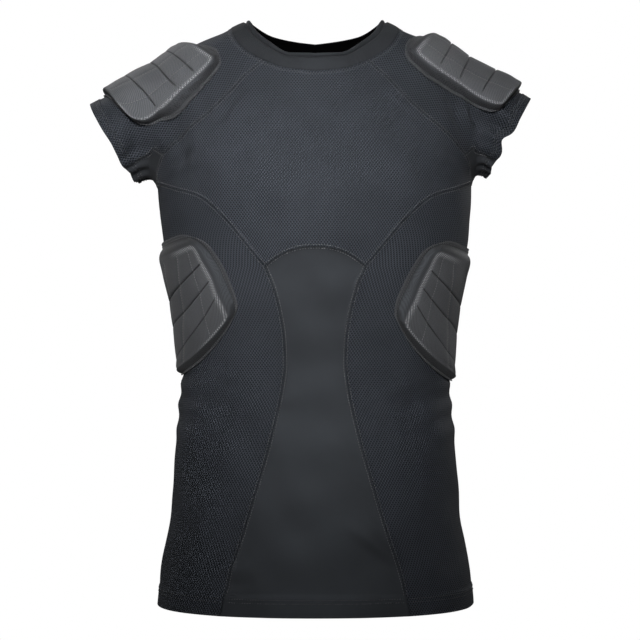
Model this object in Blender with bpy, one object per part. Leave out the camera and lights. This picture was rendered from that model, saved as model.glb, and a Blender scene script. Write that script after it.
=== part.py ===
"""A padded compression shirt, hollow and standing as it is worn, with nobody in it.

Metres, +Z up. The front faces -Y and the wearer's left is +X. The origin is midway between the
two points where the shoulders meet the collar, which is where the wearer holds the shirt up.

The cloth lies on one smooth figure: a stack of rounded sections, joined softly to two arms. The
seams are curves on that figure, each panel fills the space between its seams, and the pads are
built on the same figure, moved out past the cloth.
"""

import bpy
import numpy as np

# Cloth and making
CLOTH_THICK = 0.0014
HEM_THICK = 0.0022
HEM_STEP = 0.0010
HEM_TALL = 0.022
CUFF_TALL = 0.013
SEAM_GAP = 0.00034
SHARP_ANGLE = 50

# Figure
HEM_Z = -0.672
ARM_ROOT = np.array([0.120, 0.004, -0.0710])
CUFF_CENTRE = np.array([0.2318, 0.004, -0.1350])
ARM_RADIUS = 0.0520
ARM_FLAT = 1.05
ARM_BLEND = 0.024
# The sleeves hang a little towards the wearer's right: how far, and the stretch that it fades in over
SLEEVE_LEAN = 0.0065
LEAN_START = 0.155
LEAN_END = 0.225
# The left cuff is held a little higher: how far, and the stretches along the arm and across
CUFF_LIFT = 0.0070
LIFT_START = 0.055
LIFT_END = 0.125
LIFT_INNER = 0.172
LIFT_OUTER = 0.202

# How points are brought onto the figure
SETTLE_STEPS = 12
SETTLE_SHARE = 0.8
MARCH = 0.0025
MARCH_STEPS = 100
PROBE = 1e-4

# Seams
RAGLAN_FRONT_ANGLE = 41.0
RAGLAN_BACK_ANGLE = 140.0
ARMPIT_Z = -0.184
GUSSET_START = 0.82
GUSSET_ANGLE = 134.0
GUSSET_BEND = 2.2
ARCH_RISE = 0.0218
ARCH_POWER = 2.4

# Collar
COLLAR_THICK = 0.0026
COLLAR_SWELL = 0.0020
COLLAR_ROWS = 4

# Pads
PAD_GAP = 0.0013
PAD_FLANGE = 0.0012
PAD_TALL = 0.0105
PAD_ROUND = 0.80
GROOVE_DEEP = 0.0040
GROOVE_HALF = 0.022
PAD_EDGE = (0.0, 0.038, 0.072, 0.11)
PAD_COLUMNS = 8

# Panel grids: how many steps each seam is divided into
CHEST_STEPS = 7
RAGLAN_STEPS = 7
ARMPIT_STEPS = 2
CUFF_STEPS = 3
CHEST_COLUMNS = 18
BACK_COLUMNS = 18
SIDE_COLUMNS = 14
SLEEVE_COLUMNS = 16
BELLY_ROWS = (
    -0.310, -0.340, -0.370, -0.392, -0.405, -0.417, -0.429, -0.441, -0.453, -0.465, -0.477, -0.490,
    -0.520, -0.555, -0.590, -0.625,
)


def table(columns, *rows):
    """A short table, as one array for each named column."""
    return {name: np.array(values, float) for name, values in zip(columns.split(), zip(*rows))}


SECTIONS = table(
    "height half front back power",
    (HEM_Z, 0.1825, 0.123, 0.120, 2.3),
    (-0.640, 0.1812, 0.120, 0.117, 2.3),
    (-0.600, 0.1735, 0.117, 0.112, 2.3),
    (-0.560, 0.1672, 0.114, 0.105, 2.3),
    (-0.490, 0.1625, 0.110, 0.095, 2.3),
    (-0.430, 0.1550, 0.106, 0.088, 2.3),
    (-0.395, 0.1530, 0.107, 0.088, 2.3),
    (-0.340, 0.1568, 0.113, 0.094, 2.3),
    (-0.290, 0.1675, 0.120, 0.102, 2.3),
    (-0.240, 0.1785, 0.126, 0.109, 2.3),
    (-0.200, 0.1815, 0.127, 0.113, 2.4),
    (-0.150, 0.1835, 0.119, 0.111, 2.4),
    (-0.100, 0.1800, 0.100, 0.103, 2.4),
    (-0.065, 0.1710, 0.079, 0.092, 2.3),
    (-0.040, 0.1540, 0.068, 0.082, 2.3),
    (-0.020, 0.1290, 0.062, 0.072, 2.2),
    (0.000, 0.0950, 0.056, 0.062, 2.1),
    (0.030, 0.0700, 0.050, 0.055, 2.0),
)

COLLAR_SEAM = table(
    "angle height",
    (0, -0.0598),
    (16, -0.0583),
    (27, -0.0556),
    (38, -0.0490),
    (46, -0.0423),
    (53, -0.0345),
    (60, -0.0245),
    (67, -0.0145),
    (77, -0.0055),
    (90, -0.0010),
    (108, -0.0075),
    (125, -0.0190),
    (140, -0.0280),
    (160, -0.0335),
    (180, -0.0350),
)

COLLAR_TOP = table(
    "angle radius height",
    (0, 0.0680, -0.0390),
    (25, 0.0690, -0.0370),
    (47, 0.0725, -0.0224),
    (64, 0.0755, -0.0087),
    (76, 0.0765, 0.0030),
    (90, 0.0765, 0.0080),
    (106, 0.0755, 0.0060),
    (135, 0.0700, -0.0040),
    (180, 0.0640, -0.0100),
)

# Each seam is listed from its upper end, by its distance from the middle of the shirt and its height
RAGLAN_FRONT = table(
    "across height",
    (0.0809, -0.0674),
    (0.0958, -0.0846),
    (0.1172, -0.1057),
    (0.1368, -0.1215),
    (0.1578, -0.1403),
    (0.1740, -0.1580),
    (0.1780, -0.1700),
    (0.1800, ARMPIT_Z),
)
RAGLAN_BACK = table(
    "across height",
    (0.0700, -0.0520),
    (0.0980, -0.0850),
    (0.1280, -0.1150),
    (0.1530, -0.1400),
    (0.1700, -0.1620),
    (0.1800, ARMPIT_Z),
)
CHEST_SIDE = table(
    "across height",
    (0.1800, ARMPIT_Z),
    (0.1710, -0.1877),
    (0.1560, -0.1935),
    (0.1310, -0.2022),
    (0.1110, -0.2168),
    (0.0935, -0.2356),
    (0.0770, -0.2555),
    (0.0554, -0.2818),
)
BELLY_SIDE = table(
    "across height",
    (0.0554, -0.2818),
    (0.0460, -0.3050),
    (0.0385, -0.3350),
    (0.0343, -0.3640),
    (0.0335, -0.3900),
    (0.0372, -0.4210),
    (0.0428, -0.4480),
    (0.0502, -0.4787),
    (0.0640, -0.5266),
    (0.0785, -0.5755),
    (0.0952, -0.6269),
    (0.1052, HEM_Z),
)
BACK_SIDE = table(
    "height across",
    (HEM_Z, 0.1380),
    (-0.590, 0.1300),
    (-0.500, 0.1180),
    (-0.430, 0.1120),
    (-0.360, 0.1140),
    (-0.290, 0.1220),
    (-0.250, 0.1300),
    (-0.225, 0.1430),
    (-0.203, 0.1620),
    (ARMPIT_Z, 0.1800),
)

# How much of the sleeves' lean there is at each height
LEAN_BY_HEIGHT = table(
    "height share",
    (-0.215, 0),
    (-0.160, 1),
    (-0.105, 1),
    (-0.050, 0),
)

# Soft folds, each along a straight line between two points of one side, mirrored to the other
FOLDS = table(
    "x1 y1 z1 x2 y2 z2 width rise",
    (0.134, -0.078, -0.420, 0.166, 0.030, -0.412, 0.0085, 0.0030),
    (0.124, -0.086, -0.446, 0.166, 0.030, -0.438, 0.0090, 0.0035),
    (0.134, -0.078, -0.474, 0.168, 0.030, -0.466, 0.0100, 0.0025),
)

# Pads, row by row: where the front and back edges lie, each by an angle and a place along
LEFT_SHOULDER_PAD = table(
    "share front_angle back_angle front_place back_place",
    (0.00, 64, -36, -0.0410, -0.0080),
    (0.08, 76, -42, -0.0290, -0.0050),
    (0.27, 84.5, -44, 0.0076, 0.0060),
    (0.46, 84.5, -46, 0.0340, 0.0320),
    (0.70, 80, -46, 0.0690, 0.0680),
    (0.88, 78.5, -42, 0.0900, 0.0920),
    (0.95, 75, -38, 0.1000, 0.1050),
    (1.00, 66, -30, 0.1060, 0.1140),
)
RIGHT_SHOULDER_PAD = table(
    "share front_angle back_angle front_place back_place",
    (0.00, 66, -8, -0.0300, 0.0160),
    (0.08, 80, -18, -0.0225, 0.0190),
    (0.27, 91, -22, 0.0045, 0.0339),
    (0.46, 98, -24, 0.0301, 0.0559),
    (0.70, 104, -24, 0.0579, 0.0900),
    (0.88, 101, -20, 0.0790, 0.1050),
    (0.95, 91, -15, 0.0915, 0.1100),
    (1.00, 77, -8, 0.0965, 0.1140),
)
RIB_PAD = table(
    "share front_angle back_angle front_place back_place",
    (0.00, 60, 95, -0.2450, -0.2565),
    (0.05, 54, 99, -0.2520, -0.2680),
    (0.12, 50.5, 102, -0.2600, -0.2860),
    (0.26, 48.5, 103, -0.2680, -0.3250),
    (0.445, 45.2, 104, -0.2844, -0.3570),
    (0.64, 43.4, 103, -0.2973, -0.3960),
    (0.92, 40.2, 98, -0.3290, -0.4060),
    (1.00, 42, 91, -0.3400, -0.4100),
)
SHOULDER_GROOVES = (0.27, 0.46, 0.70)
RIB_GROOVES = (0.26, 0.445, 0.64)
RIB_BEND = 2.4
# How far a pad sits from its table's place, as an angle and a distance along. The rib pads share one
# table and are shifted one way on the wearer's left and the other way on the right
RIB_PAD_SHIFT = (0.5, -0.0035)
NO_SHIFT = (0.0, 0.0)


def smooth(x, y, at):
    """A cubic through the points (x, y) that never overshoots them, read at each value of at."""
    gap = np.diff(x)
    rate = np.diff(y) / gap
    product = rate[:-1] * rate[1:]
    total = rate[:-1] + rate[1:]
    inner = np.where(product > 0, 2 * product / np.where(product > 0, total, 1), 0)
    slope = np.concatenate([rate[:1], inner, rate[-1:]])
    i = np.clip(np.searchsorted(x, at) - 1, 0, len(gap) - 1)
    t = np.clip((at - x[i]) / gap[i], 0, 1)
    rise = y[i + 1] - y[i]
    ease = t * t * (3 - 2 * t)
    return y[i] + rise * ease + gap[i] * t * (1 - t) * (slope[i] * (1 - t) - slope[i + 1] * t)


def along(curve, t):
    """Where a seam is at each share t of its length, as its two columns."""
    first, second = curve.values()
    length = np.concatenate([[0], np.cumsum(np.hypot(np.diff(first), np.diff(second)))])
    at = np.asarray(t, float) * length[-1]
    return smooth(length, first, at), smooth(length, second, at)


def section(column, z):
    return smooth(SECTIONS["height"], SECTIONS[column], z)


def torso(p):
    """How far each point lies outside the trunk, along a level line from its axis."""
    x, y, z = np.moveaxis(p, -1, 0)
    depth = np.where(y < 0, section("front", z), section("back", z))
    power = section("power", z)
    share = ((np.abs(x) / section("half", z)) ** power + (np.abs(y) / depth) ** power) ** (1 / power)
    return np.hypot(x, y) * (1 - 1 / np.maximum(share, 1e-6))


ARM_AXIS = (CUFF_CENTRE - ARM_ROOT) / np.linalg.norm(CUFF_CENTRE - ARM_ROOT)
ARM_UP = np.array([-ARM_AXIS[2], 0, ARM_AXIS[0]])
CUFF_REACH = np.linalg.norm(CUFF_CENTRE - ARM_ROOT)


def arm(p):
    """How far each point lies outside the arm on its own side."""
    q = np.stack([np.abs(p[..., 0]), p[..., 1], p[..., 2]], -1) - ARM_ROOT
    reach = q @ ARM_AXIS
    ends = np.minimum(reach, 0)
    return np.sqrt((q @ ARM_UP) ** 2 + (q[..., 1] * ARM_FLAT) ** 2 + ends**2) - ARM_RADIUS


def figure(p):
    """How far each point lies outside trunk and arms, softly joined."""
    a, b = torso(p), arm(p)
    near = np.maximum(ARM_BLEND - np.abs(a - b), 0) / ARM_BLEND
    return np.minimum(a, b) - near * near * ARM_BLEND / 4


def outward(p):
    """The figure's outward direction at each point."""
    slope = [figure(p + PROBE * e) - figure(p - PROBE * e) for e in np.eye(3)]
    n = np.stack(slope, -1)
    return n / np.linalg.norm(n, axis=-1, keepdims=True)


def settle(p):
    """Points near the figure, moved onto it."""
    for _ in range(SETTLE_STEPS):
        p = p - SETTLE_SHARE * figure(p)[..., None] * outward(p)
    return p


def at_angle(angle, z):
    """Points of the figure by the angle round its axis, in degrees from the front, and the height."""
    angle, z = np.broadcast_arrays(np.radians(angle), z)
    x, y = np.sin(angle), -np.cos(angle)
    depth = np.where(y < 0, section("front", z), section("back", z))
    power = section("power", z)
    share = ((np.abs(x) / section("half", z)) ** power + (np.abs(y) / depth) ** power) ** (1 / power)
    return settle(np.stack([x / share, y / share, z], -1))


def angle_of(p):
    return np.degrees(np.arctan2(p[..., 0], -p[..., 1]))


def at_across(across, z, back=False):
    """Points of the figure's front or back, by their distance from its middle and the height."""
    power = section("power", z)
    share = np.clip(across / section("half", z), 0, 0.9995)
    depth = section("back" if back else "front", z)
    y = depth * (1 - share**power) ** (1 / power)
    return at_angle(np.degrees(np.arctan2(across, y if not back else -y)), z)


def collar_seam(angle):
    return at_angle(angle, smooth(COLLAR_SEAM["angle"], COLLAR_SEAM["height"], np.abs(angle)))


def raglan(t, back=False):
    """The seam from the collar to the armpit, at each share t of its length."""
    curve = RAGLAN_BACK if back else RAGLAN_FRONT
    top = collar_seam(np.array(RAGLAN_BACK_ANGLE if back else RAGLAN_FRONT_ANGLE))
    across = np.concatenate([[top[0]], curve["across"]])
    height = np.concatenate([[top[2]], curve["height"]])
    p = at_across(*along({"across": across, "height": height}, t), back)
    p[np.asarray(t) == 0] = top
    return p


def at_cuff(angle):
    """Points of the cuff's edge, by the angle round the arm in degrees, from its top to its front."""
    return at_arm(angle, np.full(np.shape(angle), CUFF_REACH))


def at_arm(angle, reach):
    """Points of the figure round an arm, by the angle from its top and the distance along it."""
    turn = np.radians(angle)[..., None]
    start = ARM_ROOT + reach[..., None] * ARM_AXIS
    ray = np.cos(turn) * ARM_UP - np.sin(turn) * np.array([0, 1.0, 0])
    away = np.zeros(np.shape(reach))
    going = np.ones(np.shape(reach), bool)
    for _ in range(MARCH_STEPS):
        here = start + away[..., None] * ray
        going &= np.minimum(torso(here), arm(here)) < 0
        away += going * MARCH
    return settle(start + away[..., None] * ray)


def arm_place(p):
    """The angle round the arm's axis and the distance along it, for each point."""
    q = p - ARM_ROOT
    return np.degrees(np.arctan2(-q[..., 1], q @ ARM_UP)), q @ ARM_AXIS


def fold_rise(p):
    """How far the folds lift the cloth at each point."""
    p = np.stack([np.abs(p[..., 0]), p[..., 1], p[..., 2]], -1)
    total = np.zeros(p.shape[:-1])
    for x1, y1, z1, x2, y2, z2, width, rise in zip(*FOLDS.values()):
        a, b = np.array([x1, y1, z1]), np.array([x2, y2, z2])
        t = np.clip((p - a) @ (b - a) / ((b - a) @ (b - a)), 0, 1)
        away = np.linalg.norm(p - a - t[..., None] * (b - a), axis=-1)
        total += rise * np.exp(-((away / width) ** 2)) * np.sin(np.pi * (0.15 + 0.7 * t))
    return total


def mirrored(p):
    return p * np.array([-1, 1, 1])


def ease(start, end, at):
    """A soft step from none at start to one at end."""
    t = np.clip((at - start) / (end - start), 0, 1)
    return t * t * (3 - 2 * t)


def leaning(p):
    """The points as they hang: both sleeves towards the wearer's right, and the left cuff higher."""
    lean = ease(LEAN_START, LEAN_END, np.abs(p[..., 0]))
    lean = lean * smooth(LEAN_BY_HEIGHT["height"], LEAN_BY_HEIGHT["share"], p[..., 2])
    lift = ease(LIFT_START, LIFT_END, arm_place(p)[1]) * ease(LIFT_INNER, LIFT_OUTER, p[..., 0])
    return p + np.stack([-SLEEVE_LEAN * lean, 0 * lean, CUFF_LIFT * lift], -1)


def pulled_in(grid, edges):
    """The grid with the named edges moved in by half a seam gap."""
    grid = grid.copy()
    for edge in edges:
        line, inner = {
            "first_row": (np.s_[0], np.s_[1]),
            "last_row": (np.s_[-1], np.s_[-2]),
            "first_column": (np.s_[:, 0], np.s_[:, 1]),
            "last_column": (np.s_[:, -1], np.s_[:, -2]),
        }[edge]
        seam = np.gradient(grid[line], axis=0)
        seam /= np.linalg.norm(seam, axis=-1, keepdims=True)
        inward = grid[inner] - grid[line]
        inward -= np.sum(inward * seam, axis=-1, keepdims=True) * seam
        grid[line] += inward / np.linalg.norm(inward, axis=-1, keepdims=True) * SEAM_GAP / 2
    return grid


ALL_EDGES = ("first_row", "last_row", "first_column", "last_column")


def solid(name, outer, inner, material, closed=False):
    """A closed solid between two grids of points; closed joins the last column to the first."""
    rows, columns = outer.shape[:2]
    points = leaning(np.concatenate([outer.reshape(-1, 3), inner.reshape(-1, 3)]))
    under = rows * columns
    steps = columns if closed else columns - 1
    index = lambda r, c: r * columns + c % columns
    faces = []
    for r in range(rows - 1):
        for c in range(steps):
            quad = [index(r, c), index(r, c + 1), index(r + 1, c + 1), index(r + 1, c)]
            faces.append(quad)
            faces.append([under + i for i in reversed(quad)])
    rims = [[index(0, c) for c in range(steps + 1)], [index(rows - 1, c) for c in range(steps, -1, -1)]]
    if not closed:
        rims.append([index(r, 0) for r in range(rows - 1, -1, -1)])
        rims.append([index(r, columns - 1) for r in range(rows)])
    for rim in rims:
        for a, b in zip(rim, rim[1:]):
            faces.append([b, a, under + a, under + b])
    mesh = bpy.data.meshes.new(name)
    mesh.from_pydata(points.tolist(), [], faces)
    mesh.materials.append(material)
    mesh.shade_smooth()
    mesh.set_sharp_from_angle(angle=np.radians(SHARP_ANGLE))
    mesh.validate()
    made = bpy.data.objects.new(name, mesh)
    bpy.context.scene.collection.objects.link(made)
    return made


def facing_out(grid):
    """Whether the grid's rows and columns turn so that its faces point out of the figure."""
    r, c = grid.shape[0] // 2, grid.shape[1] // 2
    across = grid[r, c] - grid[r, c - 1]
    down = grid[r, c] - grid[r - 1, c]
    return np.cross(across, down) @ outward(grid[r, c]) > 0


def cloth(name, grid, material, edges=ALL_EDGES, hem=None):
    """A wall of cloth on a grid of the figure's points. hem is how much of a turned edge each has."""
    grid = pulled_in(grid, edges)
    if not facing_out(grid):
        grid = grid[:, ::-1]
        hem = None if hem is None else hem[:, ::-1]
    n = outward(grid)
    middle = grid + n * fold_rise(grid)[..., None]
    thick = CLOTH_THICK if hem is None else CLOTH_THICK + (HEM_THICK - CLOTH_THICK) * hem[..., None]
    return solid(name, middle + n * (thick - CLOTH_THICK / 2), middle - n * CLOTH_THICK / 2, material)


def shares(steps):
    return np.linspace(0, 1, steps + 1)


def seam_points():
    """The points that panels share along their seams, on the wearer's left side."""
    above = shares(RAGLAN_STEPS) * GUSSET_START
    below = GUSSET_START + shares(ARMPIT_STEPS)[1:] * (1 - GUSSET_START)
    raglan_t = np.concatenate([above, below])
    points = {"raglan_front": raglan(raglan_t), "raglan_back": raglan(raglan_t, back=True)}
    points["chest_side"] = at_across(*along(CHEST_SIDE, shares(CHEST_STEPS)))
    points["chest_side"][0] = points["raglan_front"][-1]
    points["belly_side"] = belly_seam()
    points["belly_side"][0] = points["chest_side"][-1]
    points["side_front"] = np.concatenate([points["chest_side"], points["belly_side"][1:]])
    height = points["side_front"][:, 2]
    across = smooth(BACK_SIDE["height"], BACK_SIDE["across"], height)
    points["side_back"] = at_across(across, height, back=True)
    points["side_back"][0] = points["raglan_back"][-1]
    return points


def belly_seam():
    """The seam down the front panel's side, with rows close together where the waist folds."""
    fold = HEM_Z + HEM_TALL
    heights = np.array((BELLY_SIDE["height"][0],) + BELLY_ROWS + (fold + HEM_STEP, fold, HEM_Z))
    return at_across(smooth(-BELLY_SIDE["height"], BELLY_SIDE["across"], -heights), heights)


def turned_edge(grid):
    """One on the last two rows of a panel, where its edge is turned up, and none above them."""
    turned = np.zeros(grid.shape[:2])
    turned[-2:] = 1
    return turned


def across_panel(edge, top, bottom):
    """Rows from one side of the shirt to the other, between an edge and its mirror. top and bottom are
    the first and last row's height above its own ends, at each column."""
    rows, columns = len(edge), len(top)
    u = np.linspace(-1, 1, columns)
    v = np.linspace(0, 1, rows)[:, None]
    z = edge[:, 2:3] + (1 - v) * top + v * bottom
    angle = angle_of(edge)[:, None]
    back = angle > 90
    angle = np.where(back, 180 - (180 - angle) * np.abs(u), angle * np.abs(u)) * np.where(u < 0, -1, 1)
    grid = at_angle(angle, z)
    grid[:, -1] = edge
    grid[:, 0] = mirrored(edge)
    return grid


def arch_row(columns):
    u = np.abs(np.linspace(-1, 1, columns))
    return ARCH_RISE * (1 - u**ARCH_POWER)


def collar_row(columns, angle):
    """The collar seam's height above its point at the raglan seam, across the front or the back."""
    u = np.abs(np.linspace(-1, 1, columns))
    away = angle * u if angle < 90 else 180 - (180 - angle) * u
    height = smooth(COLLAR_SEAM["angle"], COLLAR_SEAM["height"], away)
    return height - height[0]


def chest_grid(points):
    edge = np.concatenate([points["raglan_front"], points["chest_side"][1:]])
    columns = CHEST_COLUMNS + 1
    return across_panel(edge, collar_row(columns, RAGLAN_FRONT_ANGLE), arch_row(columns))


def belly_grid(points):
    columns = CHEST_COLUMNS + 1
    return across_panel(points["belly_side"], arch_row(columns), np.zeros(columns))


def back_grid(points):
    edge = np.concatenate([points["raglan_back"], points["side_back"][1:]])
    columns = BACK_COLUMNS + 1
    return across_panel(edge, collar_row(columns, RAGLAN_BACK_ANGLE), np.zeros(columns))


def side_grid(points):
    front, back = points["side_front"], points["side_back"]
    u = np.linspace(0, 1, SIDE_COLUMNS + 1)
    angle = angle_of(front)[:, None] * (1 - u) + angle_of(back)[:, None] * u
    z = front[:, 2:3] * (1 - u) + back[:, 2:3] * u
    grid = at_angle(angle, z)
    grid[:, 0], grid[:, -1] = front, back
    return grid


def gusset_edge(corner, angle):
    """The seam from a raglan seam to the cuff, round the front or the back of the arm."""
    start_angle, start_reach = arm_place(corner)
    length = CUFF_REACH - start_reach
    t = shares(CUFF_STEPS) * (1 - (CUFF_TALL + HEM_STEP) / length)
    t = np.concatenate([t, [1 - CUFF_TALL / length, 1]])
    end = at_cuff(np.array(angle))
    away, reach = arm_place(end)
    turned = 1 - (1 - t) ** GUSSET_BEND
    edge = at_arm(start_angle + (away - start_angle) * turned, start_reach + (reach - start_reach) * t)
    edge[0] = corner
    return edge


def sleeve_grid(points):
    u = np.linspace(0, 1, SLEEVE_COLUMNS + 1)
    front = np.concatenate([points["raglan_front"][: RAGLAN_STEPS + 1], points["gusset_front"][1:]])
    back = np.concatenate([points["raglan_back"][: RAGLAN_STEPS + 1], points["gusset_back"][1:]])
    neck = collar_seam(RAGLAN_FRONT_ANGLE + (RAGLAN_BACK_ANGLE - RAGLAN_FRONT_ANGLE) * u)
    neck_angle, neck_reach = arm_place(neck)
    rows = len(front)
    grid = np.empty((rows, len(u), 3))
    front_angle, front_reach = arm_place(front)
    back_angle, back_reach = arm_place(back)
    for r in range(rows):
        v = r / (rows - 1)
        angle = front_angle[r] * (1 - u) + back_angle[r] * u
        ends = front_reach[r] * (1 - u) + back_reach[r] * u
        neck_ends = neck_reach[0] * (1 - u) + neck_reach[-1] * u
        angle = angle + (1 - v) * (neck_angle - neck_angle[0] * (1 - u) - neck_angle[-1] * u)
        grid[r] = at_arm(angle, ends + (1 - v) * (neck_reach - neck_ends))
    grid[:, 0], grid[:, -1] = front, back
    grid[0] = neck
    return grid


def gusset_grid(points, side):
    """From the armpit out to the cuff, under the arm."""
    inner = np.concatenate(
        [
            points["raglan_front"][RAGLAN_STEPS:-1],
            side[0],
            points["raglan_back"][RAGLAN_STEPS:-1][::-1],
        ]
    )
    front, back = points["gusset_front"], points["gusset_back"]
    u = np.linspace(0, 1, len(inner))
    cuff = at_cuff(GUSSET_ANGLE + (360 - 2 * GUSSET_ANGLE) * u)
    reach = arm_place(front)[1]
    v = ((reach - reach[0]) / (reach[-1] - reach[0]))[:, None, None]
    along_arm = inner * (1 - v) + cuff * v
    ends = front[:, None] * (1 - u[:, None]) + back[:, None] * u[:, None]
    corners = ends[0] * (1 - v) + ends[-1] * v
    grid = settle(along_arm + (ends - corners))
    grid[0], grid[-1] = inner, cuff
    grid[:, 0], grid[:, -1] = front, back
    return grid


def collar(points_round, material):
    """The band round the neck, from the seam up to its open edge."""
    angle = np.abs(angle_of(points_round))
    radius = smooth(COLLAR_TOP["angle"], COLLAR_TOP["radius"], angle)
    height = smooth(COLLAR_TOP["angle"], COLLAR_TOP["height"], angle)
    turn = np.radians(angle_of(points_round))
    top = np.stack([np.sin(turn) * radius, -np.cos(turn) * radius, height], -1)
    v = shares(COLLAR_ROWS)[:, None, None]
    side = np.stack([np.sin(turn), -np.cos(turn), 0 * turn], -1)
    grid = points_round * (1 - v) + top * v + side * COLLAR_SWELL * np.sin(np.pi * v)
    n = np.cross(np.roll(grid, -1, 1) - np.roll(grid, 1, 1), np.gradient(grid, axis=0))
    n /= np.linalg.norm(n, axis=-1, keepdims=True)
    n[0] = outward(points_round)
    grid = pulled_in(grid, ("first_row",))
    thick = CLOTH_THICK + (COLLAR_THICK - CLOTH_THICK) * v
    return solid("collar", grid + n * thick / 2, grid - n * thick / 2, material, closed=True)


def neck_ring(chest, sleeve, back):
    """The points round the neck that the collar shares with the panels it is sewn to."""
    other = mirrored(sleeve)
    return np.concatenate([chest[0, :-1], sleeve[0, :-1], back[0, ::-1][:-1], other[0, ::-1][:-1]])


def pad_grid(rows, bend, place, shift, u, v):
    """Points of the figure under a pad, and its outward direction there."""
    row = {name: smooth(rows["share"], values, v)[:, None] for name, values in rows.items()}
    lean = 1 - (1 - u) ** bend
    angle = row["front_angle"] + (row["back_angle"] - row["front_angle"]) * u + shift[0]
    spot = row["front_place"] + (row["back_place"] - row["front_place"]) * lean + shift[1]
    grid = place(*np.broadcast_arrays(angle, spot))
    return grid, outward(grid)


def pad(name, rows, grooves, bend, place, shift, flip, material):
    """A foam pad on the cloth: a thin sewn edge, a sloping wall, and a top cut across by grooves."""
    edge = np.array(PAD_EDGE)
    u = np.concatenate([edge, np.linspace(edge[-1], 1 - edge[-1], PAD_COLUMNS + 1)[1:-1], 1 - edge[::-1]])
    cuts = [g + d * GROOVE_HALF for g in grooves for d in (-1, 0, 1)]
    stops = [edge[-1]] + list(grooves) + [1 - edge[-1]]
    between = [(a + b) / 2 for a, b in zip(stops, stops[1:])]
    v = np.array(sorted(list(edge) + list(1 - edge) + cuts + between))
    grid, n = pad_grid(rows, bend, place, shift, u, v)
    lift = (PAD_FLANGE, PAD_FLANGE, PAD_FLANGE + (PAD_TALL - PAD_FLANGE) * PAD_ROUND, PAD_TALL)
    inset = np.minimum(np.minimum(u, 1 - u)[None, :], np.minimum(v, 1 - v)[:, None])
    tall = np.interp(inset, edge, lift)
    cut = np.isin(v, grooves)[:, None] & (inset > edge[1])
    tall = tall - cut * GROOVE_DEEP
    base = grid + n * (CLOTH_THICK / 2 + PAD_GAP + fold_rise(grid)[..., None])
    top = base + n * tall[..., None]
    if flip:
        base, top = mirrored(base)[:, ::-1], mirrored(top)[:, ::-1]
    r, c = len(v) // 2, len(u) // 2
    across, down = base[r, c] - base[r, c - 1], base[r, c] - base[r - 1, c]
    if np.cross(across, down) @ (top - base)[r, c] < 0:
        base, top = base[:, ::-1], top[:, ::-1]
    return solid(name, top, base, material)


def dyed(name, colour, roughness):
    material = bpy.data.materials.new(name)
    material.use_nodes = True
    shader = material.node_tree.nodes["Principled BSDF"]
    shader.inputs["Base Color"].default_value = (*colour, 1)
    shader.inputs["Roughness"].default_value = roughness
    material.diffuse_color = (*colour, 1)
    return material


def main():
    for old in list(bpy.data.objects):
        bpy.data.objects.remove(old)
    mesh_cloth = dyed("mesh_cloth", (0.035, 0.040, 0.048), 0.75)
    smooth_cloth = dyed("smooth_cloth", (0.030, 0.030, 0.032), 0.6)
    collar_cloth = dyed("collar_cloth", (0.052, 0.052, 0.055), 0.6)
    pad_cover = dyed("pad_cover", (0.065, 0.065, 0.067), 0.7)
    points = seam_points()
    side = side_grid(points)
    points["gusset_front"] = gusset_edge(points["raglan_front"][RAGLAN_STEPS], GUSSET_ANGLE)
    points["gusset_back"] = gusset_edge(points["raglan_back"][RAGLAN_STEPS], -GUSSET_ANGLE)
    chest, belly, back = chest_grid(points), belly_grid(points), back_grid(points)
    cloth("chest_panel", chest, mesh_cloth)
    cloth("belly_panel", belly, smooth_cloth, hem=turned_edge(belly))
    cloth("back_panel", back, mesh_cloth, hem=turned_edge(back))
    sleeve, gusset = sleeve_grid(points), gusset_grid(points, side)
    for name, flip in (("left", False), ("right", True)):
        turn = mirrored if flip else np.copy
        cloth("side_panel_" + name, turn(side), mesh_cloth, hem=turned_edge(side))
        cloth("sleeve_" + name, turn(sleeve), mesh_cloth, hem=turned_edge(sleeve))
        cloth("gusset_" + name, turn(gusset), smooth_cloth, hem=turned_edge(gusset))
        rows = RIGHT_SHOULDER_PAD if flip else LEFT_SHOULDER_PAD
        pad("shoulder_pad_" + name, rows, SHOULDER_GROOVES, 1, at_arm, NO_SHIFT, flip, pad_cover)
        shift = np.array(RIB_PAD_SHIFT) * (-1 if flip else 1)
        pad("rib_pad_" + name, RIB_PAD, RIB_GROOVES, RIB_BEND, at_angle, shift, flip, pad_cover)
    collar(neck_ring(chest, sleeve, back), collar_cloth)


main()
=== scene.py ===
"""How the padded compression shirt looks: fine cloth with its creases, seams, stitches and pads.

Metres, +Z up. The front faces -Y and the wearer's left is +X. The cloth lies on the same figure and
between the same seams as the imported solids, on finer grids, and creases lift it or press it in.
"""

from types import SimpleNamespace

import bpy
import numpy as np
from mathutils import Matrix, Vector


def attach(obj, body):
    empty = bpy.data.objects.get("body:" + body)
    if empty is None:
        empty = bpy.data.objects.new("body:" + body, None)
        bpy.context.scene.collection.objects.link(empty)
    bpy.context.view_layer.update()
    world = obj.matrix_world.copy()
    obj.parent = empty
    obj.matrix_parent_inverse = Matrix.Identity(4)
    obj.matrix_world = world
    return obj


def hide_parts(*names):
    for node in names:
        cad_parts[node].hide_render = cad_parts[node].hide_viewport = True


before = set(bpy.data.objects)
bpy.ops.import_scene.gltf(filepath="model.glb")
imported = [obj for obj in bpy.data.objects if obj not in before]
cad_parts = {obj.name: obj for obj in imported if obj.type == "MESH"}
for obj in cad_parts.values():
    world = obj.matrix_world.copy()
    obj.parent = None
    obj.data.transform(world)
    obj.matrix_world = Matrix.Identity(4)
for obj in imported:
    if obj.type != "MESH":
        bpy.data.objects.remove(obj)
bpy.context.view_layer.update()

# Cloth and making
CLOTH_THICK = 0.0014
HEM_THICK = 0.0022
HEM_STEP = 0.0010
HEM_TALL = 0.022
CUFF_TALL = 0.013
SEAM_GAP = 0.00034
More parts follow.
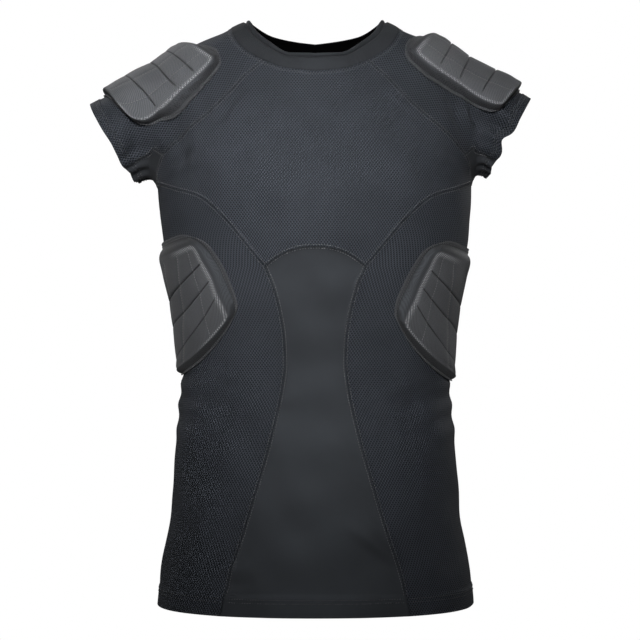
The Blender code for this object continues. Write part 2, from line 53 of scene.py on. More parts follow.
SHARP_ANGLE = 50

# Figure
HEM_Z = -0.672
ARM_ROOT = np.array([0.120, 0.004, -0.0710])
CUFF_CENTRE = np.array([0.2318, 0.004, -0.1350])
CUFF_REACH = np.linalg.norm(CUFF_CENTRE - ARM_ROOT)
ARM_AXIS = (CUFF_CENTRE - ARM_ROOT) / CUFF_REACH
ARM_UP = np.array([-ARM_AXIS[2], 0, ARM_AXIS[0]])
ARM_RADIUS = 0.0520
ARM_FLAT = 1.05
ARM_BLEND = 0.024
SLEEVE_LEAN = 0.0065
LEAN_START = 0.155
LEAN_END = 0.225
CUFF_LIFT = 0.0070
LIFT_START = 0.055
LIFT_END = 0.125
LIFT_INNER = 0.172
LIFT_OUTER = 0.202

# How points are brought onto the figure: the steps of each search, the widest place that is looked for
# as a share of the figure's half width, a distance greater than any in the shirt, and a share above none
SETTLE_STEPS = 12
SETTLE_SHARE = 0.8
MARCH = 0.0025
MARCH_STEPS = 100
PROBE = 1e-4
WIDEST = 0.9995
FAR = 1e3
TINY = 1e-6

# Seams
RAGLAN_FRONT_ANGLE = 41.0
RAGLAN_BACK_ANGLE = 140.0
ARMPIT_Z = -0.184
GUSSET_START = 0.82
GUSSET_ANGLE = 134.0
GUSSET_BEND = 2.2
ARCH_RISE = 0.0218
ARCH_POWER = 2.4

# Collar: its wall, how much it swells and wavers, where its crease lies and its edge turns over, as
# shares of its height, and how its lower edge is tucked under the panels' edges
COLLAR_THICK = 0.0026
COLLAR_SWELL = 0.0020
COLLAR_ROWS = 26
COLLAR_WAVER = 0.0004
COLLAR_WAVES = 5
COLLAR_CREASE = 0.80
COLLAR_CREASE_DEEP = 0.0022
COLLAR_CREASE_HALF = 0.05
COLLAR_TURN = 0.93
COLLAR_TURN_LEAST = 0.04
COLLAR_TUCK = 0.0020
COLLAR_UNDER = 0.0015

# Pads
PAD_GAP = 0.0013
PAD_FLANGE = 0.0012

# Panel grids: how many steps each seam is divided into
CHEST_STEPS = 44
RAGLAN_STEPS = 44
ARMPIT_STEPS = 16
CUFF_STEPS = 26
CUFF_EDGE_STEPS = 5
BELLY_STEPS = 104
HEM_ROWS = 7
CHEST_COLUMNS = 116
BACK_COLUMNS = 104
SIDE_COLUMNS = 72
SLEEVE_COLUMNS = 92
PAD_COLUMNS = 62
PAD_ROWS = 74


def table(columns, *rows):
    """A short table, as one array for each named column."""
    return {name: np.array(values, float) for name, values in zip(columns.split(), zip(*rows))}


SECTIONS = table(
    "height half front back power",
    (HEM_Z, 0.1825, 0.123, 0.120, 2.3),
    (-0.640, 0.1812, 0.120, 0.117, 2.3),
    (-0.600, 0.1735, 0.117, 0.112, 2.3),
    (-0.560, 0.1672, 0.114, 0.105, 2.3),
    (-0.490, 0.1625, 0.110, 0.095, 2.3),
    (-0.430, 0.1550, 0.106, 0.088, 2.3),
    (-0.395, 0.1530, 0.107, 0.088, 2.3),
    (-0.340, 0.1568, 0.113, 0.094, 2.3),
    (-0.290, 0.1675, 0.120, 0.102, 2.3),
    (-0.240, 0.1785, 0.126, 0.109, 2.3),
    (-0.200, 0.1815, 0.127, 0.113, 2.4),
    (-0.150, 0.1835, 0.119, 0.111, 2.4),
    (-0.100, 0.1800, 0.100, 0.103, 2.4),
    (-0.065, 0.1710, 0.079, 0.092, 2.3),
    (-0.040, 0.1540, 0.068, 0.082, 2.3),
    (-0.020, 0.1290, 0.062, 0.072, 2.2),
    (0.000, 0.0950, 0.056, 0.062, 2.1),
    (0.030, 0.0700, 0.050, 0.055, 2.0),
)

COLLAR_SEAM = table(
    "angle height",
    (0, -0.0598),
    (16, -0.0583),
    (27, -0.0556),
    (38, -0.0490),
    (46, -0.0423),
    (53, -0.0345),
    (60, -0.0245),
    (67, -0.0145),
    (77, -0.0055),
    (90, -0.0010),
    (108, -0.0075),
    (125, -0.0190),
    (140, -0.0280),
    (160, -0.0335),
    (180, -0.0350),
)

COLLAR_TOP = table(
    "angle radius height",
    (0, 0.0680, -0.0390),
    (25, 0.0690, -0.0370),
    (47, 0.0725, -0.0224),
    (64, 0.0755, -0.0087),
    (76, 0.0765, 0.0030),
    (90, 0.0765, 0.0080),
    (106, 0.0755, 0.0060),
    (135, 0.0700, -0.0040),
    (180, 0.0640, -0.0100),
)

# Each seam is listed from its upper end, by its distance from the middle of the shirt and its height
RAGLAN_FRONT = table(
    "across height",
    (0.0809, -0.0674),
    (0.0958, -0.0846),
    (0.1172, -0.1057),
    (0.1368, -0.1215),
    (0.1578, -0.1403),
    (0.1740, -0.1580),
    (0.1780, -0.1700),
    (0.1800, ARMPIT_Z),
)
RAGLAN_BACK = table(
    "across height",
    (0.0700, -0.0520),
    (0.0980, -0.0850),
    (0.1280, -0.1150),
    (0.1530, -0.1400),
    (0.1700, -0.1620),
    (0.1800, ARMPIT_Z),
)
CHEST_SIDE = table(
    "across height",
    (0.1800, ARMPIT_Z),
    (0.1710, -0.1877),
    (0.1560, -0.1935),
    (0.1310, -0.2022),
    (0.1110, -0.2168),
    (0.0935, -0.2356),
    (0.0770, -0.2555),
    (0.0554, -0.2818),
)
BELLY_SIDE = table(
    "across height",
    (0.0554, -0.2818),
    (0.0460, -0.3050),
    (0.0385, -0.3350),
    (0.0343, -0.3640),
    (0.0335, -0.3900),
    (0.0372, -0.4210),
    (0.0428, -0.4480),
    (0.0502, -0.4787),
    (0.0640, -0.5266),
    (0.0785, -0.5755),
    (0.0952, -0.6269),
    (0.1052, HEM_Z),
)
BACK_SIDE = table(
    "height across",
    (HEM_Z, 0.1380),
    (-0.590, 0.1300),
    (-0.500, 0.1180),
    (-0.430, 0.1120),
    (-0.360, 0.1140),
    (-0.290, 0.1220),
    (-0.250, 0.1300),
    (-0.225, 0.1430),
    (-0.203, 0.1620),
    (ARMPIT_Z, 0.1800),
)

# How much of the sleeves' lean there is at each height
LEAN_BY_HEIGHT = table(
    "height share",
    (-0.215, 0),
    (-0.160, 1),
    (-0.105, 1),
    (-0.050, 0),
)

# Soft folds at the waist, each along a straight line between two points of one side, mirrored. They
# start at FOLD_START of a half wave and run on for FOLD_SPAN of it
FOLD_START = 0.15
FOLD_SPAN = 0.7
FOLDS = table(
    "x1 y1 z1 x2 y2 z2 width rise",
    (0.134, -0.078, -0.420, 0.166, 0.030, -0.412, 0.0085, 0.0030),
    (0.124, -0.086, -0.446, 0.166, 0.030, -0.438, 0.0090, 0.0035),
    (0.134, -0.078, -0.474, 0.168, 0.030, -0.466, 0.0100, 0.0025),
)

# Creases in the front and back, on the side of the shirt that their sign gives. A negative rise is
# a trough, and bow is how far a crease's middle sags below the line between its ends. A crease dies
# away at CREASE_REACH of its width and towards its ends
CREASE_POINTS = np.linspace(0, 1, 9)
CREASE_STRENGTH = 1.7
CREASE_REACH = 2.6
CREASE_END = 0.02
CREASE_FADE = 0.8
CREASES = table(
    "side back across1 height1 across2 height2 bow width rise",
    # beside the raglan seams
    (-1, 0, 0.072, -0.072, 0.098, -0.118, 0.003, 0.0050, 0.0011),
    (-1, 0, 0.080, -0.082, 0.118, -0.125, 0.004, 0.0045, -0.0010),
    (-1, 0, 0.060, -0.080, 0.086, -0.135, 0.004, 0.0070, -0.0008),
    (1, 0, 0.078, -0.078, 0.104, -0.106, 0.001, 0.0045, 0.0010),
    (1, 0, 0.084, -0.090, 0.124, -0.124, 0.002, 0.0050, -0.0009),
    # out of the armpits
    (-1, 0, 0.172, -0.178, 0.120, -0.166, -0.003, 0.0060, 0.0012),
    (-1, 0, 0.170, -0.172, 0.126, -0.148, -0.002, 0.0060, -0.0010),
    (1, 0, 0.172, -0.176, 0.128, -0.158, -0.003, 0.0070, 0.0011),
    (1, 0, 0.170, -0.188, 0.120, -0.184, 0.002, 0.0060, -0.0008),
    # below the rib pads
    (-1, 0, 0.118, -0.396, 0.066, -0.408, 0.004, 0.0060, 0.0012),
    (-1, 0, 0.140, -0.424, 0.074, -0.440, 0.004, 0.0070, -0.0011),
    (-1, 0, 0.128, -0.458, 0.092, -0.470, 0.002, 0.0060, 0.0009),
    (1, 0, 0.128, -0.402, 0.072, -0.422, 0.005, 0.0070, 0.0013),
    (1, 0, 0.136, -0.420, 0.086, -0.444, 0.003, 0.0055, -0.0012),
    (1, 0, 0.140, -0.446, 0.100, -0.462, 0.003, 0.0060, 0.0010),
    # across the belly
    (1, 0, 0.030, -0.566, 0.092, -0.616, -0.004, 0.0070, 0.0010),
    (1, 0, 0.044, -0.590, 0.100, -0.634, -0.003, 0.0070, -0.0009),
    (1, 0, 0.010, -0.470, 0.044, -0.500, -0.002, 0.0080, 0.0006),
    (-1, 0, 0.072, -0.612, 0.102, -0.624, 0.001, 0.0050, 0.0009),
    (-1, 0, 0.066, -0.630, 0.110, -0.640, 0.001, 0.0055, -0.0009),
    (-1, 0, 0.014, -0.420, 0.046, -0.436, 0.003, 0.0080, 0.0005),
    # down the lower sides
    (-1, 0, 0.120, -0.520, 0.138, -0.640, 0.000, 0.0110, 0.0010),
    (1, 0, 0.112, -0.510, 0.130, -0.610, 0.000, 0.0120, 0.0009),
    # the back: between the shoulders, the small of the back, and out of the armpits
    (-1, 1, 0.010, -0.100, 0.070, -0.122, 0.006, 0.0090, 0.0010),
    (1, 1, 0.006, -0.116, 0.078, -0.134, 0.007, 0.0080, -0.0009),
    (1, 1, 0.172, -0.180, 0.110, -0.158, -0.003, 0.0070, 0.0012),
    (-1, 1, 0.172, -0.186, 0.104, -0.176, -0.002, 0.0065, 0.0012),
    (-1, 1, 0.170, -0.176, 0.120, -0.150, -0.002, 0.0060, -0.0010),
    (1, 1, 0.004, -0.398, 0.104, -0.412, 0.008, 0.0080, 0.0016),
    (-1, 1, 0.000, -0.422, 0.108, -0.408, 0.007, 0.0080, 0.0015),
    (1, 1, 0.020, -0.440, 0.112, -0.436, 0.006, 0.0085, 0.0014),
    (-1, 1, 0.012, -0.462, 0.096, -0.470, 0.006, 0.0080, -0.0012),
    (1, 1, 0.016, -0.482, 0.090, -0.492, 0.005, 0.0090, 0.0010),
    (-1, 1, 0.040, -0.560, 0.110, -0.600, -0.003, 0.0110, 0.0009),
    (1, 1, 0.052, -0.570, 0.100, -0.640, -0.002, 0.0110, 0.0009),
)

# Creases in the sleeves, by the angle round the arm and the distance along it
ARM_CREASES = table(
    "side angle1 reach1 angle2 reach2 bow width rise",
    (-1, 70, 0.088, 136, 0.117, 0.003, 0.0080, -0.0046),
    (-1, 66, 0.108, 128, 0.128, 0.002, 0.0070, 0.0022),
    (-1, 84, 0.066, 140, 0.092, 0.004, 0.0070, 0.0022),
    (-1, 92, 0.040, 128, 0.066, 0.003, 0.0055, -0.0028),
    (-1, 84, 0.030, 118, 0.054, 0.002, 0.0045, 0.0020),
    (-1, 100, 0.054, 138, 0.078, 0.002, 0.0050, -0.0024),
    (1, 88, 0.040, 116, 0.072, 0.002, 0.0050, -0.0040),
    (1, 84, 0.052, 112, 0.084, 0.002, 0.0045, 0.0028),
    (1, 84, 0.062, 108, 0.094, 0.002, 0.0050, -0.0038),
    (1, 82, 0.076, 96, 0.132, 0.000, 0.0085, -0.0068),
    (1, 62, 0.108, 84, 0.130, 0.002, 0.0080, 0.0030),
    (1, 100, 0.104, 112, 0.130, 0.000, 0.0060, 0.0022),
    # the back of the sleeves
    (-1, -70, 0.080, -130, 0.112, 0.003, 0.0080, -0.0034),
    (-1, -76, 0.050, -122, 0.080, 0.003, 0.0060, 0.0020),
    (1, -68, 0.092, -126, 0.118, 0.002, 0.0080, -0.0036),
    (1, -82, 0.056, -128, 0.086, 0.003, 0.0060, 0.0020),
    (1, -64, 0.108, -110, 0.130, 0.002, 0.0070, 0.0022),
)

# How the cuffs' edges waver, by the angle round the arm: the width of each wave and how far out it goes
WAVE_START = 0.088
WAVE_INNER = 0.188
WAVE_OUTER = 0.206
CUFF_WAVES = table(
    "side angle width out",
    (1, 103, 9, -0.0060),
    (1, 84, 11, 0.0012),
    (1, 122, 8, 0.0018),
    (1, 146, 7, -0.0014),
    (1, 162, 7, 0.0016),
    (1, 181, 7, -0.0012),
    (1, 200, 8, 0.0014),
    (1, 268, 14, -0.0024),
    (-1, 96, 14, -0.0012),
    (-1, 128, 9, 0.0014),
    (-1, 147, 7, -0.0016),
    (-1, 163, 7, 0.0014),
    (-1, 182, 8, -0.0016),
    (-1, 203, 8, 0.0012),
    (-1, 262, 12, -0.0020),
)

# Gathers of the gusset: how high they are, how many waves there are under the arm on each side, where
# they begin and are whole round the arm and along it, how near the arm they lie, and their unevenness
GATHER_RISE = 0.0021
GATHER_WAVES = {1: 21.0, -1: 18.0}
GATHER_ANGLES = (104, 132)
GATHER_REACHES = (0.045, 0.120)
GATHER_DEPTH = 0.006
GATHER_DRIFT = 1.3
GATHER_DRIFT_RATE = 0.31
GATHER_FADE = 0.25
GATHER_FADE_RATE = 0.4

# Slow unevenness of cloth stretched over a form, as waves in space
UNEVEN_RISE = 0.00026
UNEVEN = table(
    "x y z phase",
    (52, 20, 96, 0.3),
    (-38, 66, 71, 1.9),
    (88, -30, 44, 4.2),
    (24, 81, -107, 2.8),
    (119, 40, 65, 5.1),
)

# Seams: how far the joined edges stand proud, over what width, and how they pucker, in waves up,
# across and into the shirt, each with a drift, as its size and its own rate
SEAM_RISE = 0.00062
SEAM_LINE = 0.0007
SEAM_WIDTH = 0.0034
PUCKER_RISE = 0.00034
PUCKER_WIDTH = 0.0085
PUCKER_UP = 760
PUCKER_ACROSS = 640
PUCKER_IN = 410
PUCKER_DRIFT_UP = (3, 95)
PUCKER_DRIFT_ACROSS = (2, 120)

# Pads, row by row: where the front and back edges lie, each by an angle and a place along
LEFT_SHOULDER_PAD = table(
    "share front_angle back_angle front_place back_place",
    (0.00, 64, -36, -0.0410, -0.0080),
    (0.08, 76, -42, -0.0290, -0.0050),
    (0.27, 84.5, -44, 0.0076, 0.0060),
    (0.46, 84.5, -46, 0.0340, 0.0320),
    (0.70, 80, -46, 0.0690, 0.0680),
    (0.88, 78.5, -42, 0.0900, 0.0920),
    (0.95, 75, -38, 0.1000, 0.1050),
    (1.00, 66, -30, 0.1060, 0.1140),
)
RIGHT_SHOULDER_PAD = table(
    "share front_angle back_angle front_place back_place",
    (0.00, 66, -8, -0.0300, 0.0160),
    (0.08, 80, -18, -0.0225, 0.0190),
    (0.27, 91, -22, 0.0045, 0.0339),
    (0.46, 98, -24, 0.0301, 0.0559),
    (0.70, 104, -24, 0.0579, 0.0900),
    (0.88, 101, -20, 0.0790, 0.1050),
    (0.95, 91, -15, 0.0915, 0.1100),
    (1.00, 77, -8, 0.0965, 0.1140),
)
RIB_PAD = table(
    "share front_angle back_angle front_place back_place",
    (0.00, 60, 95, -0.2450, -0.2565),
    (0.05, 54, 99, -0.2520, -0.2680),
    (0.12, 50.5, 102, -0.2600, -0.2860),
    (0.26, 48.5, 103, -0.2680, -0.3250),
    (0.445, 45.2, 104, -0.2844, -0.3570),
    (0.64, 43.4, 103, -0.2973, -0.3960),
    (0.92, 40.2, 98, -0.3290, -0.4060),
    (1.00, 42, 91, -0.3400, -0.4100),
)
RIB_PAD_SHIFT = (0.5, -0.0035)
NO_SHIFT = (0.0, 0.0)

# The two kinds of pad: the height, how early the rows run to the back, how far the top hangs over the
# front, back, first and last edges, where the grooves lie and begin, and where each row of quilting
# runs at the pad's two ends. All but the height are shares of the pad's size
SHOULDER_KIND = SimpleNamespace(
    tall=0.0100,
    bend=1,
    overhang=(-0.012, 0.010, -0.045, 0.026),
    grooves=(0.27, 0.46, 0.70),
    groove_start=0.125,
    quilts=((0.21, 0.29), (0.42, 0.56), (0.66, 0.78)),
)
RIB_KIND = SimpleNamespace(
    tall=0.0078,
    bend=2.4,
    overhang=(-0.020, 0.0, -0.020, -0.030),
    grooves=(0.26, 0.445, 0.64),
    groove_start=0.082,
    quilts=((0.13, 0.24), (0.25, 0.58), (0.50, 0.74), (0.76, 0.87)),
)

# A pad's sides, as shares of its width: where the sewn edge ends and the flat top begins, how many
# rows each has, and how the wall rises. Its corners are soft, and the top between grooves is crowned
FLANGE_END = 0.028
CROWN_END = 0.080
FLANGE_POINTS = 4
WALL_POINTS = 12
WALL_STEEP = 3.4
WALL_ROUND = 2.0
CORNER_SOFT = 34.0
CORNER_REACH = 0.012
CORNER_PULL = 0.085
CORNER_POWER = 9
OVERHANG_FADE = 0.30
BLOCK_CROWN = 0.0007
# Grooves: how deep and wide they are, and the shares over which they fade at their ends
GROOVE_DEEP = 0.0020
GROOVE_HALF = 0.0110
GROOVE_ROUND = 0.7
GROOVE_CLEAR = 1.2
GROOVE_SOFT = 0.014
GROOVE_ENDS = (0.05, 0.09)
GROOVE_PROFILE = np.array([-1, -0.66, -0.4, -0.2, 0, 0.2, 0.4, 0.66, 1])
QUILT_DEEP = 0.0007
QUILT_HALF = 0.016
QUILT_BEFORE = 0.01
QUILT_AFTER = 0.02
# Where a cover is marked, as shares in from its edge: a painted highlight, the net glinting where the
# crown's edge catches the light, fades in over the first pair and out over the second, most on the front;
# painted shade darkens the wall, and the rim of the sewn edge is pale
GLINT_FROM = (0.054, 0.064)
GLINT_TO = (0.072, 0.088)
GLINT_FRONT = (0.1, 0.3)
WALL_SHADE = (0.048, 0.062)
RIM_PALE = (0.008, 0.013)

# Stitches: the spacing and size of each, how far its ends and its underside dip into the cloth, as
# shares of its height, and how far the rows lie from a seam, from the collar's seam, below the top of
# the turned hem, within the turned cuff, and in from a pad's edge as a share of its width
STITCH_PITCH = 0.0030
STITCH_LONG = 0.0023
STITCH_WIDE = 0.00085
STITCH_TALL = 0.00045
STITCH_END_DIP = 0.3
STITCH_DIP = 0.6
SEAM_STITCH_AWAY = 0.0020
COLLAR_STITCH_AWAY = (-0.0030, -0.0046)
HEM_STITCH_DOWN = (0.0022, 0.0062)
CUFF_STITCH_IN = (0.0022, 0.0056)
CUFF_STITCH_POINTS = 200
PAD_EDGE_ROWS = (0.004, 0.018)
PAD_STITCH_STEPS = 119

# How much the cloth is stretched when it is worn, along and across the panels
STRETCH_ACROSS = 1.12
STRETCH_DOWN = 1.04

# Nets: the spacing of their holes across and down, and the holes' radius
MESH_NET = (0.0034, 0.0044, 0.00112)
SMOOTH_NET = (0.0011, 0.0015, 0.0003)
PAD_NET = (0.0019, 0.0026, 0.00042)
# The net of the painted highlight at a pad's crown edge, and the two radii over which its dots fade
GLINT_NET = (0.0024, 0.0036)
GLINT_DOT = (0.0003, 0.0009)

# Cloths, pad covers and threads by name, with linear colours. bump is how far the knit stands up
SHINE = 0.42
CLOTHS = {
    # Painted shade: the inside of the shirt, near black where it lies in shade
    "cloth_inside": dict(
        yarn=(0.0025, 0.0025, 0.0030), hole=(0.0015, 0.0015, 0.0015), net=MESH_NET,
        roughness=0.9, sheen=0.0, bump=0.0002, shine=0.03,
    ),
    "mesh_cloth_look": dict(
        yarn=(0.062, 0.068, 0.083), hole=(0.004, 0.005, 0.006), net=MESH_NET,
        roughness=0.62, sheen=0.03, bump=0.0008,
    ),
    "smooth_cloth_look": dict(
        yarn=(0.034, 0.036, 0.040), hole=(0.026, 0.027, 0.030), net=SMOOTH_NET,
        roughness=0.60, sheen=0.03, bump=0.00006,
    ),
    "collar_cloth_look": dict(
        yarn=(0.034, 0.036, 0.040), hole=(0.026, 0.028, 0.031), net=SMOOTH_NET,
        roughness=0.70, sheen=0.04, bump=0.00008, shine=0.2,
    ),
}
PAD_COVERS = {
    "shoulder_pad_cover": dict(yarn=(0.132, 0.135, 0.143), hole=(0.018, 0.018, 0.020)),
    "rib_pad_cover": dict(yarn=(0.094, 0.096, 0.102), hole=(0.013, 0.013, 0.014)),
}
PAD_KNIT = dict(net=PAD_NET, roughness=0.6, sheen=0.10, bump=0.00025)
# What a pad cover's marks turn it to, and how far: a painted highlight at the crown's edge, the rim's
# colour, and painted shade on the wall and in the grooves
GLINT_COLOUR = (0.62, 0.63, 0.65)
RIM_COLOUR = (0.068, 0.070, 0.075)
GROOVE_SHADE_COLOUR = (0.004, 0.004, 0.004)
GLINT_SHARE = 0.85
WALL_SHADE_SHARE = 0.72
GROOVE_SHADE_SHARE = 0.85
THREADS = {
    "seam_thread": (0.130, 0.134, 0.142),
    "edge_thread": (0.095, 0.097, 0.102),
    "hem_thread": (0.080, 0.083, 0.090),
    "quilt_thread": (0.250, 0.252, 0.258),
}

# How every cloth varies: its holes' edges are soft between two shares of their radius, its dye is
# uneven, its loose fibres are paler than the yarn and stand up, and it is darker along seams, and on
# the collar along its crease, where the darkening is painted shade
SHINE_TINT = (0.78, 0.88, 1.0, 1.0)
SHEEN_ROUGH = 0.55
HOLE_SOFT = (0.55, 1.35)
SLOW_NOISE = {"Scale": 16.0, "Detail": 3.0}
FINE_NOISE = {"Scale": 900.0, "Detail": 2.0}
TWIST_NOISE = {"Scale": 1400.0, "Detail": 2.0}
DYE_RANGE = (0.3, 0.7)
DYE_UNEVEN = 0.16
FIBRE_SHARE = 0.35
FIBRE_PALE = 1.5
FIBRE_RISE = 0.25
SEAM_AND_CREASE_SHADE_SHARE = 0.55
SEAM_AND_CREASE_SHADE = 0.2
KNIT_STRENGTH = 0.7
THREAD_LOOK = {"Roughness": 0.6, "Sheen Weight": 0.2}
THREAD_DARK = 0.7
THREAD_RISE = 0.0002
THREAD_STRENGTH = 0.6

# The camera: how far off and how high, and the size of a pixel at the shirt's middle
EYE_AWAY = 2.25
EYE_X = 0.0053
EYE_Z = -0.3416
SENSOR = 36.0
PICTURE_WIDE = 640
PIXEL = 1.17e-3

# Lights: where each stands, the point of the shirt's middle plane it faces, its size, how wide its
# beam is in degrees, and its power. Then the floor, and the light from all round
LIGHTS = table(
    "x y z aim_x aim_z size beam power",
    (-0.16, -1.75, 0.50, -0.05, -0.14, 0.6, 28, 1.00),
    (-0.02, -1.85, 0.20, 0.00, -0.36, 0.6, 28, 0.34),
    (-0.30, -0.70, 1.20, 0.00, -0.10, 0.7, 180, 2.3),
    (0.10, -2.60, -0.30, 0.00, -0.30, 1.6, 180, 1.7),
    (-1.40, 1.60, 1.20, 0.00, -0.30, 1.2, 180, 7.0),
    (1.50, 1.60, 0.40, 0.00, -0.30, 1.2, 180, 5.0),
)
FLOOR_Z = -1.05
FLOOR_RADIUS = 1.9
AMBIENT = 0.015
FLOOR_SCALE = 3.0
FLOOR_COLOURS = ((0.86, 0.86, 0.86), (0.92, 0.92, 0.92))
FLOOR_ROUGH = 0.85
FLOOR_STEPS = 96


def smooth(x, y, at):
    """A cubic through the points (x, y) that never overshoots them, read at each value of at."""
    gap = np.diff(x)
    rate = np.diff(y) / gap
    product = rate[:-1] * rate[1:]
    total = rate[:-1] + rate[1:]
    inner = np.where(product > 0, 2 * product / np.where(product > 0, total, 1), 0)
    slope = np.concatenate([rate[:1], inner, rate[-1:]])
    i = np.clip(np.searchsorted(x, at) - 1, 0, len(gap) - 1)
    t = np.clip((at - x[i]) / gap[i], 0, 1)
    rise = y[i + 1] - y[i]
    ease = t * t * (3 - 2 * t)
    return y[i] + rise * ease + gap[i] * t * (1 - t) * (slope[i] * (1 - t) - slope[i + 1] * t)


def hump(away, width):
    """A soft rise, 1 where away is none and dying out over about twice the width."""
    return np.exp(-((away / width) ** 2))


def unit(vectors):
    return vectors / np.linalg.norm(vectors, axis=-1, keepdims=True)


def shares(steps):
    return np.linspace(0, 1, steps + 1)


def ease(value, start, end):
    """A soft step from 0 at start to 1 at end."""
    t = np.clip((value - start) / (end - start), 0, 1)
    return t * t * (3 - 2 * t)


def along(curve, t):
    """Where a seam is at each share t of its length, as its two columns."""
    first, second = curve.values()
    length = np.concatenate([[0], np.cumsum(np.hypot(np.diff(first), np.diff(second)))])
    at = np.asarray(t, float) * length[-1]
    return smooth(length, first, at), smooth(length, second, at)


def section(column, z):
    return smooth(SECTIONS["height"], SECTIONS[column], z)


def trunk_share(x, y, z):
    """How far out each place lies, as a share of the trunk's reach in that direction."""
    depth = np.where(y < 0, section("front", z), section("back", z))
    power = section("power", z)
    return ((np.abs(x) / section("half", z)) ** power + (np.abs(y) / depth) ** power) ** (1 / power)


def torso(p):
    """How far each point lies outside the trunk, along a level line from its axis."""
    x, y, z = np.moveaxis(p, -1, 0)
    share = trunk_share(x, y, z)
    return np.hypot(x, y) * (1 - 1 / np.maximum(share, TINY))


def arm(p):
    """How far each point lies outside the arm on its own side."""
    q = on_left(p) - ARM_ROOT
    reach = q @ ARM_AXIS
    ends = np.minimum(reach, 0)
    return np.sqrt((q @ ARM_UP) ** 2 + (q[..., 1] * ARM_FLAT) ** 2 + ends**2) - ARM_RADIUS


def figure(p):
    """How far each point lies outside trunk and arms, softly joined."""
    a, b = torso(p), arm(p)
    near = np.maximum(ARM_BLEND - np.abs(a - b), 0) / ARM_BLEND
    return np.minimum(a, b) - near * near * ARM_BLEND / 4


def outward(p):
    """The figure's outward direction at each point."""
    slope = [figure(p + PROBE * e) - figure(p - PROBE * e) for e in np.eye(3)]
    return unit(np.stack(slope, -1))


def settle(p):
    """Points near the figure, moved onto it."""
    for _ in range(SETTLE_STEPS):
        p = p - SETTLE_SHARE * figure(p)[..., None] * outward(p)
    return p


def at_angle(angle, z):
    """Points of the figure by the angle round its axis, in degrees from the front, and the height."""
    angle, z = np.broadcast_arrays(np.radians(angle), z)
    x, y = np.sin(angle), -np.cos(angle)
    share = trunk_share(x, y, z)
    return settle(np.stack([x / share, y / share, z], -1))


def angle_of(p):
    return np.degrees(np.arctan2(p[..., 0], -p[..., 1]))


def at_across(across, z, back=False):
    """Points of the figure's front or back, by their distance from its middle and the height."""
    power = section("power", z)
    share = np.clip(across / section("half", z), 0, WIDEST)
    depth = section("back" if back else "front", z)
    y = depth * (1 - share**power) ** (1 / power)
    return at_angle(np.degrees(np.arctan2(across, y if not back else -y)), z)


def collar_seam(angle):
    return at_angle(angle, smooth(COLLAR_SEAM["angle"], COLLAR_SEAM["height"], np.abs(angle)))


def raglan(t, back=False):
    """The seam from the collar to the armpit, at each share t of its length."""
    curve = RAGLAN_BACK if back else RAGLAN_FRONT
    top = collar_seam(np.array(RAGLAN_BACK_ANGLE if back else RAGLAN_FRONT_ANGLE))
    across = np.concatenate([[top[0]], curve["across"]])
    height = np.concatenate([[top[2]], curve["height"]])
    p = at_across(*along({"across": across, "height": height}, t), back)
    p[np.asarray(t) == 0] = top
    return p


def at_cuff(angle):
    """Points of the cuff's edge, by the angle round the arm in degrees, from its top to its front."""
    return at_arm(angle, np.full(np.shape(angle), CUFF_REACH))


def at_arm(angle, reach):
    """Points of the figure round an arm, by the angle from its top and the distance along it."""
    turn = np.radians(angle)[..., None]
    start = ARM_ROOT + reach[..., None] * ARM_AXIS
    ray = np.cos(turn) * ARM_UP - np.sin(turn) * np.array([0, 1.0, 0])
    away = np.zeros(np.shape(reach))
    going = np.ones(np.shape(reach), bool)
    for _ in range(MARCH_STEPS):
        here = start + away[..., None] * ray
        going &= np.minimum(torso(here), arm(here)) < 0
        away += going * MARCH
    return settle(start + away[..., None] * ray)


def arm_place(p):
    """The angle round the arm's axis and the distance along it, for each point."""
    q = p - ARM_ROOT
    return np.degrees(np.arctan2(-q[..., 1], q @ ARM_UP)), q @ ARM_AXIS


def on_side(p, side):
    """Points of the wearer's left side, or their mirror image where side is -1."""
    return p * np.array([side, 1, 1])


def mirrored(p):
    return on_side(p, -1)


def side_of(p):
    """1 on the wearer's left and -1 on the right, for each point."""
    return np.where(p[..., 0] < 0, -1, 1)


def on_left(p):
    """The points, each moved to the wearer's left side."""
    return np.stack([np.abs(p[..., 0]), p[..., 1], p[..., 2]], -1)


def cuff_wave(p):
    """How far the cuffs' edges waver out along the arm at each point."""
    side = side_of(p)
    angle, reach = arm_place(on_left(p))
    wave = np.zeros(p.shape[:-1])
    for way, middle, width, out in zip(*CUFF_WAVES.values()):
        away = (angle % 360 - middle + 180) % 360 - 180
        wave += np.where(side == way, out, 0) * hump(away, width)
    return wave * ease(reach, WAVE_START, CUFF_REACH) * ease(np.abs(p[..., 0]), WAVE_INNER, WAVE_OUTER)


def leaning(p):
    """The points as they hang: both sleeves towards the wearer's right, and the left cuff higher."""
    lean = ease(np.abs(p[..., 0]), LEAN_START, LEAN_END)
    lean = lean * smooth(LEAN_BY_HEIGHT["height"], LEAN_BY_HEIGHT["share"], p[..., 2])
    lift = ease(arm_place(p)[1], LIFT_START, LIFT_END) * ease(p[..., 0], LIFT_INNER, LIFT_OUTER)
    out = cuff_wave(p)
    across = -SLEEVE_LEAN * lean + out * ARM_AXIS[0] * side_of(p)
    return p + np.stack([across, 0 * lean, CUFF_LIFT * lift + out * ARM_AXIS[2]], -1)


def fold_rise(p):
    """How far the folds at the waist lift the cloth at each point."""
    p = on_left(p)
    total = np.zeros(p.shape[:-1])
    for x1, y1, z1, x2, y2, z2, width, rise in zip(*FOLDS.values()):
        a, b = np.array([x1, y1, z1]), np.array([x2, y2, z2])
        t = np.clip((p - a) @ (b - a) / ((b - a) @ (b - a)), 0, 1)
        away = np.linalg.norm(p - a - t[..., None] * (b - a), axis=-1)
        total += rise * hump(away, width) * np.sin(np.pi * (FOLD_START + FOLD_SPAN * t))
    return total


